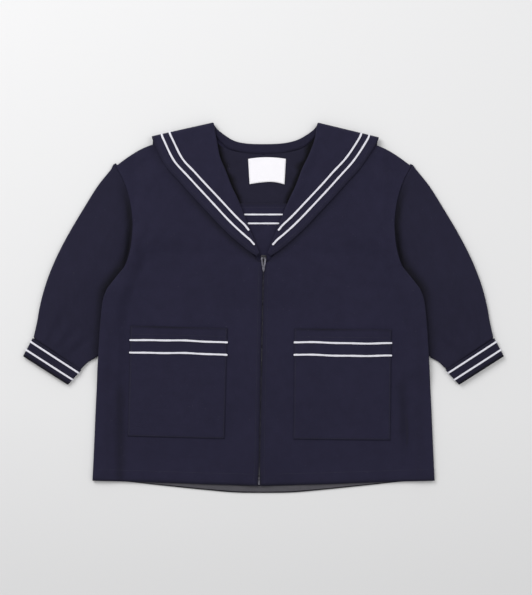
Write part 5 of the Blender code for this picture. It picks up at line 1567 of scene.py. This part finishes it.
def sewing(tapes):
    navy = bmesh.new()
    white = bmesh.new()
    for side in (1, -1):
        frontSewing(navy, side)
    hemX = spread(-238.0, 238.0, 160)
    hemRows = np.column_stack([hemX, readTable(backHem, np.abs(hemX)) + seamFrom["backHem"]])
    line = laidLine(hemRows, backUnder)
    stitchLine(navy, line, upwards(line, -1.0))
    stitchLine(navy, laidLine([(-44.0, 144.0), (44.0, 144.0)], dickeyTop, 0.2))
    for line, ups in tapes:
        across = unit(np.cross(np.gradient(line, axis=0), ups)) * seamFrom["tape"]
        for place in (-1.0, 1.0):
            stitchLine(white, line + across * place + ups * (tapeCut["rise"] + 0.02), ups)
    inset = 0.5 - seamFrom["label"] / np.array(labelCut["size"])
    corners = inset * np.array([(-1.0, -1.0), (1.0, -1.0), (1.0, 1.0), (-1.0, 1.0), (-1.0, -1.0)])
    for start, end in zip(corners[:-1], corners[1:]):
        places = np.column_stack(labelPlace(*spread(start, end, 12).T))
        stitchLine(white, laidLine(places, backTop, cutting["gap"] + 0.95))
    formPiece("SewingNavy", navy, "navyThread")
    formPiece("SewingWhite", white, "whiteThread")


backPanel()
hemBinding()
print("back laid")
frontPanel("Left", 1)
frontPanel("Right", -1)
print("fronts laid")
collar()
tapeLines = [collarTape(name, fromEdge) for name, fromEdge in collarCut["tapeFromEdge"].items()]
print("collar turned down")
chestPanel()
neckLabel()
for pieceName, pieceSide in (("Left", 1), ("Right", -1)):
    tapeLines += pocket(pieceName, pieceSide)
    sleeve(pieceName, pieceSide)
    cuff(pieceName, pieceSide)
print("pockets, sleeves and cuffs set in")
zipTapesAndTeeth()
slider()
pullTab()
print("zip closed")
sewing(tapeLines)
print("sewn")


studio = {"cameraHeight": 2.0, "cameraAbove": 0.008, "viewWidth": 0.755, "viewMiddle": (0.0035, 0.016),
          "sensor": 36.0, "floor": (0.73, 0.73, 0.735), "floorHalf": 6.0, "floorZ": -0.0006, "sky": 0.55,
          # name, place, edge length and power
          "lights": [("SoftKey", (-1.1, 1.3, 1.7), 1.4, 36.0), ("SoftFill", (1.4, 0.5, 1.9), 1.6, 13.0)]}


def areaLight(name, place, edge, power):
    data = bpy.data.lights.new(name, "AREA")
    data.shape = "RECTANGLE"
    data.size = data.size_y = edge
    data.energy = power
    lamp = newObject(name, data, None)
    lamp.location = place
    lamp.rotation_euler = (-Vector(place)).to_track_quat("-Z", "Y").to_euler()


def studioFloor():
    form = bmesh.new()
    bmesh.ops.create_grid(form, x_segments=2, y_segments=2, size=studio["floorHalf"])
    mesh = meshOf(form, bpy.data.meshes.new("StudioFloor"))
    floor = newObject("StudioFloor", mesh, None)
    floor.location = (0.0, 0.0, studio["floorZ"])
    material, graph, shader = newMaterial("paperFloor")
    place = graph.place()
    # painted shade: the floor is mixed darker towards -y, beyond the hem, standing in for light falling off
    forward = graph.add("SeparateXYZ", {0: place})["Y"]
    wander = graph.compute("MULTIPLY_ADD", graph.noise(place, 2.0, 2.0), 0.05, forward)
    paintedFalloffColour = tuple(value * 0.95 for value in studio["floor"])
    near = graph.remap(wander, -0.12, -0.36, 0.0, 1.0)
    graph.feed(shader.inputs["Base Color"], graph.mix(near, studio["floor"], paintedFalloffColour))
    shader.inputs["Roughness"].default_value = 0.9
    shader.inputs["Specular IOR Level"].default_value = 0.1
    mesh.materials.append(material)


studioFloor()
world = bpy.data.worlds.new("StudioSky")
bpy.context.scene.world = world
world.use_nodes = True
world.node_tree.nodes["Background"].inputs["Color"].default_value = (1.0, 1.0, 1.0, 1.0)
world.node_tree.nodes["Background"].inputs["Strength"].default_value = studio["sky"]
for light in studio["lights"]:
    areaLight(*light)
cameraData = bpy.data.cameras.new("OverheadCamera")
cameraData.sensor_fit = "HORIZONTAL"
cameraData.sensor_width = studio["sensor"]
cameraData.lens = studio["sensor"] * studio["cameraHeight"] / studio["viewWidth"]
cameraData.clip_end = 50.0
camera = newObject("OverheadCamera", cameraData, None)
camera.location = (*studio["viewMiddle"], studio["cameraHeight"] + studio["cameraAbove"])
camera.rotation_euler = (0.0, 0.0, 0.0)
bpy.context.scene.camera = camera
bpy.context.scene.view_settings.view_transform = "Standard"
print("studio lit")
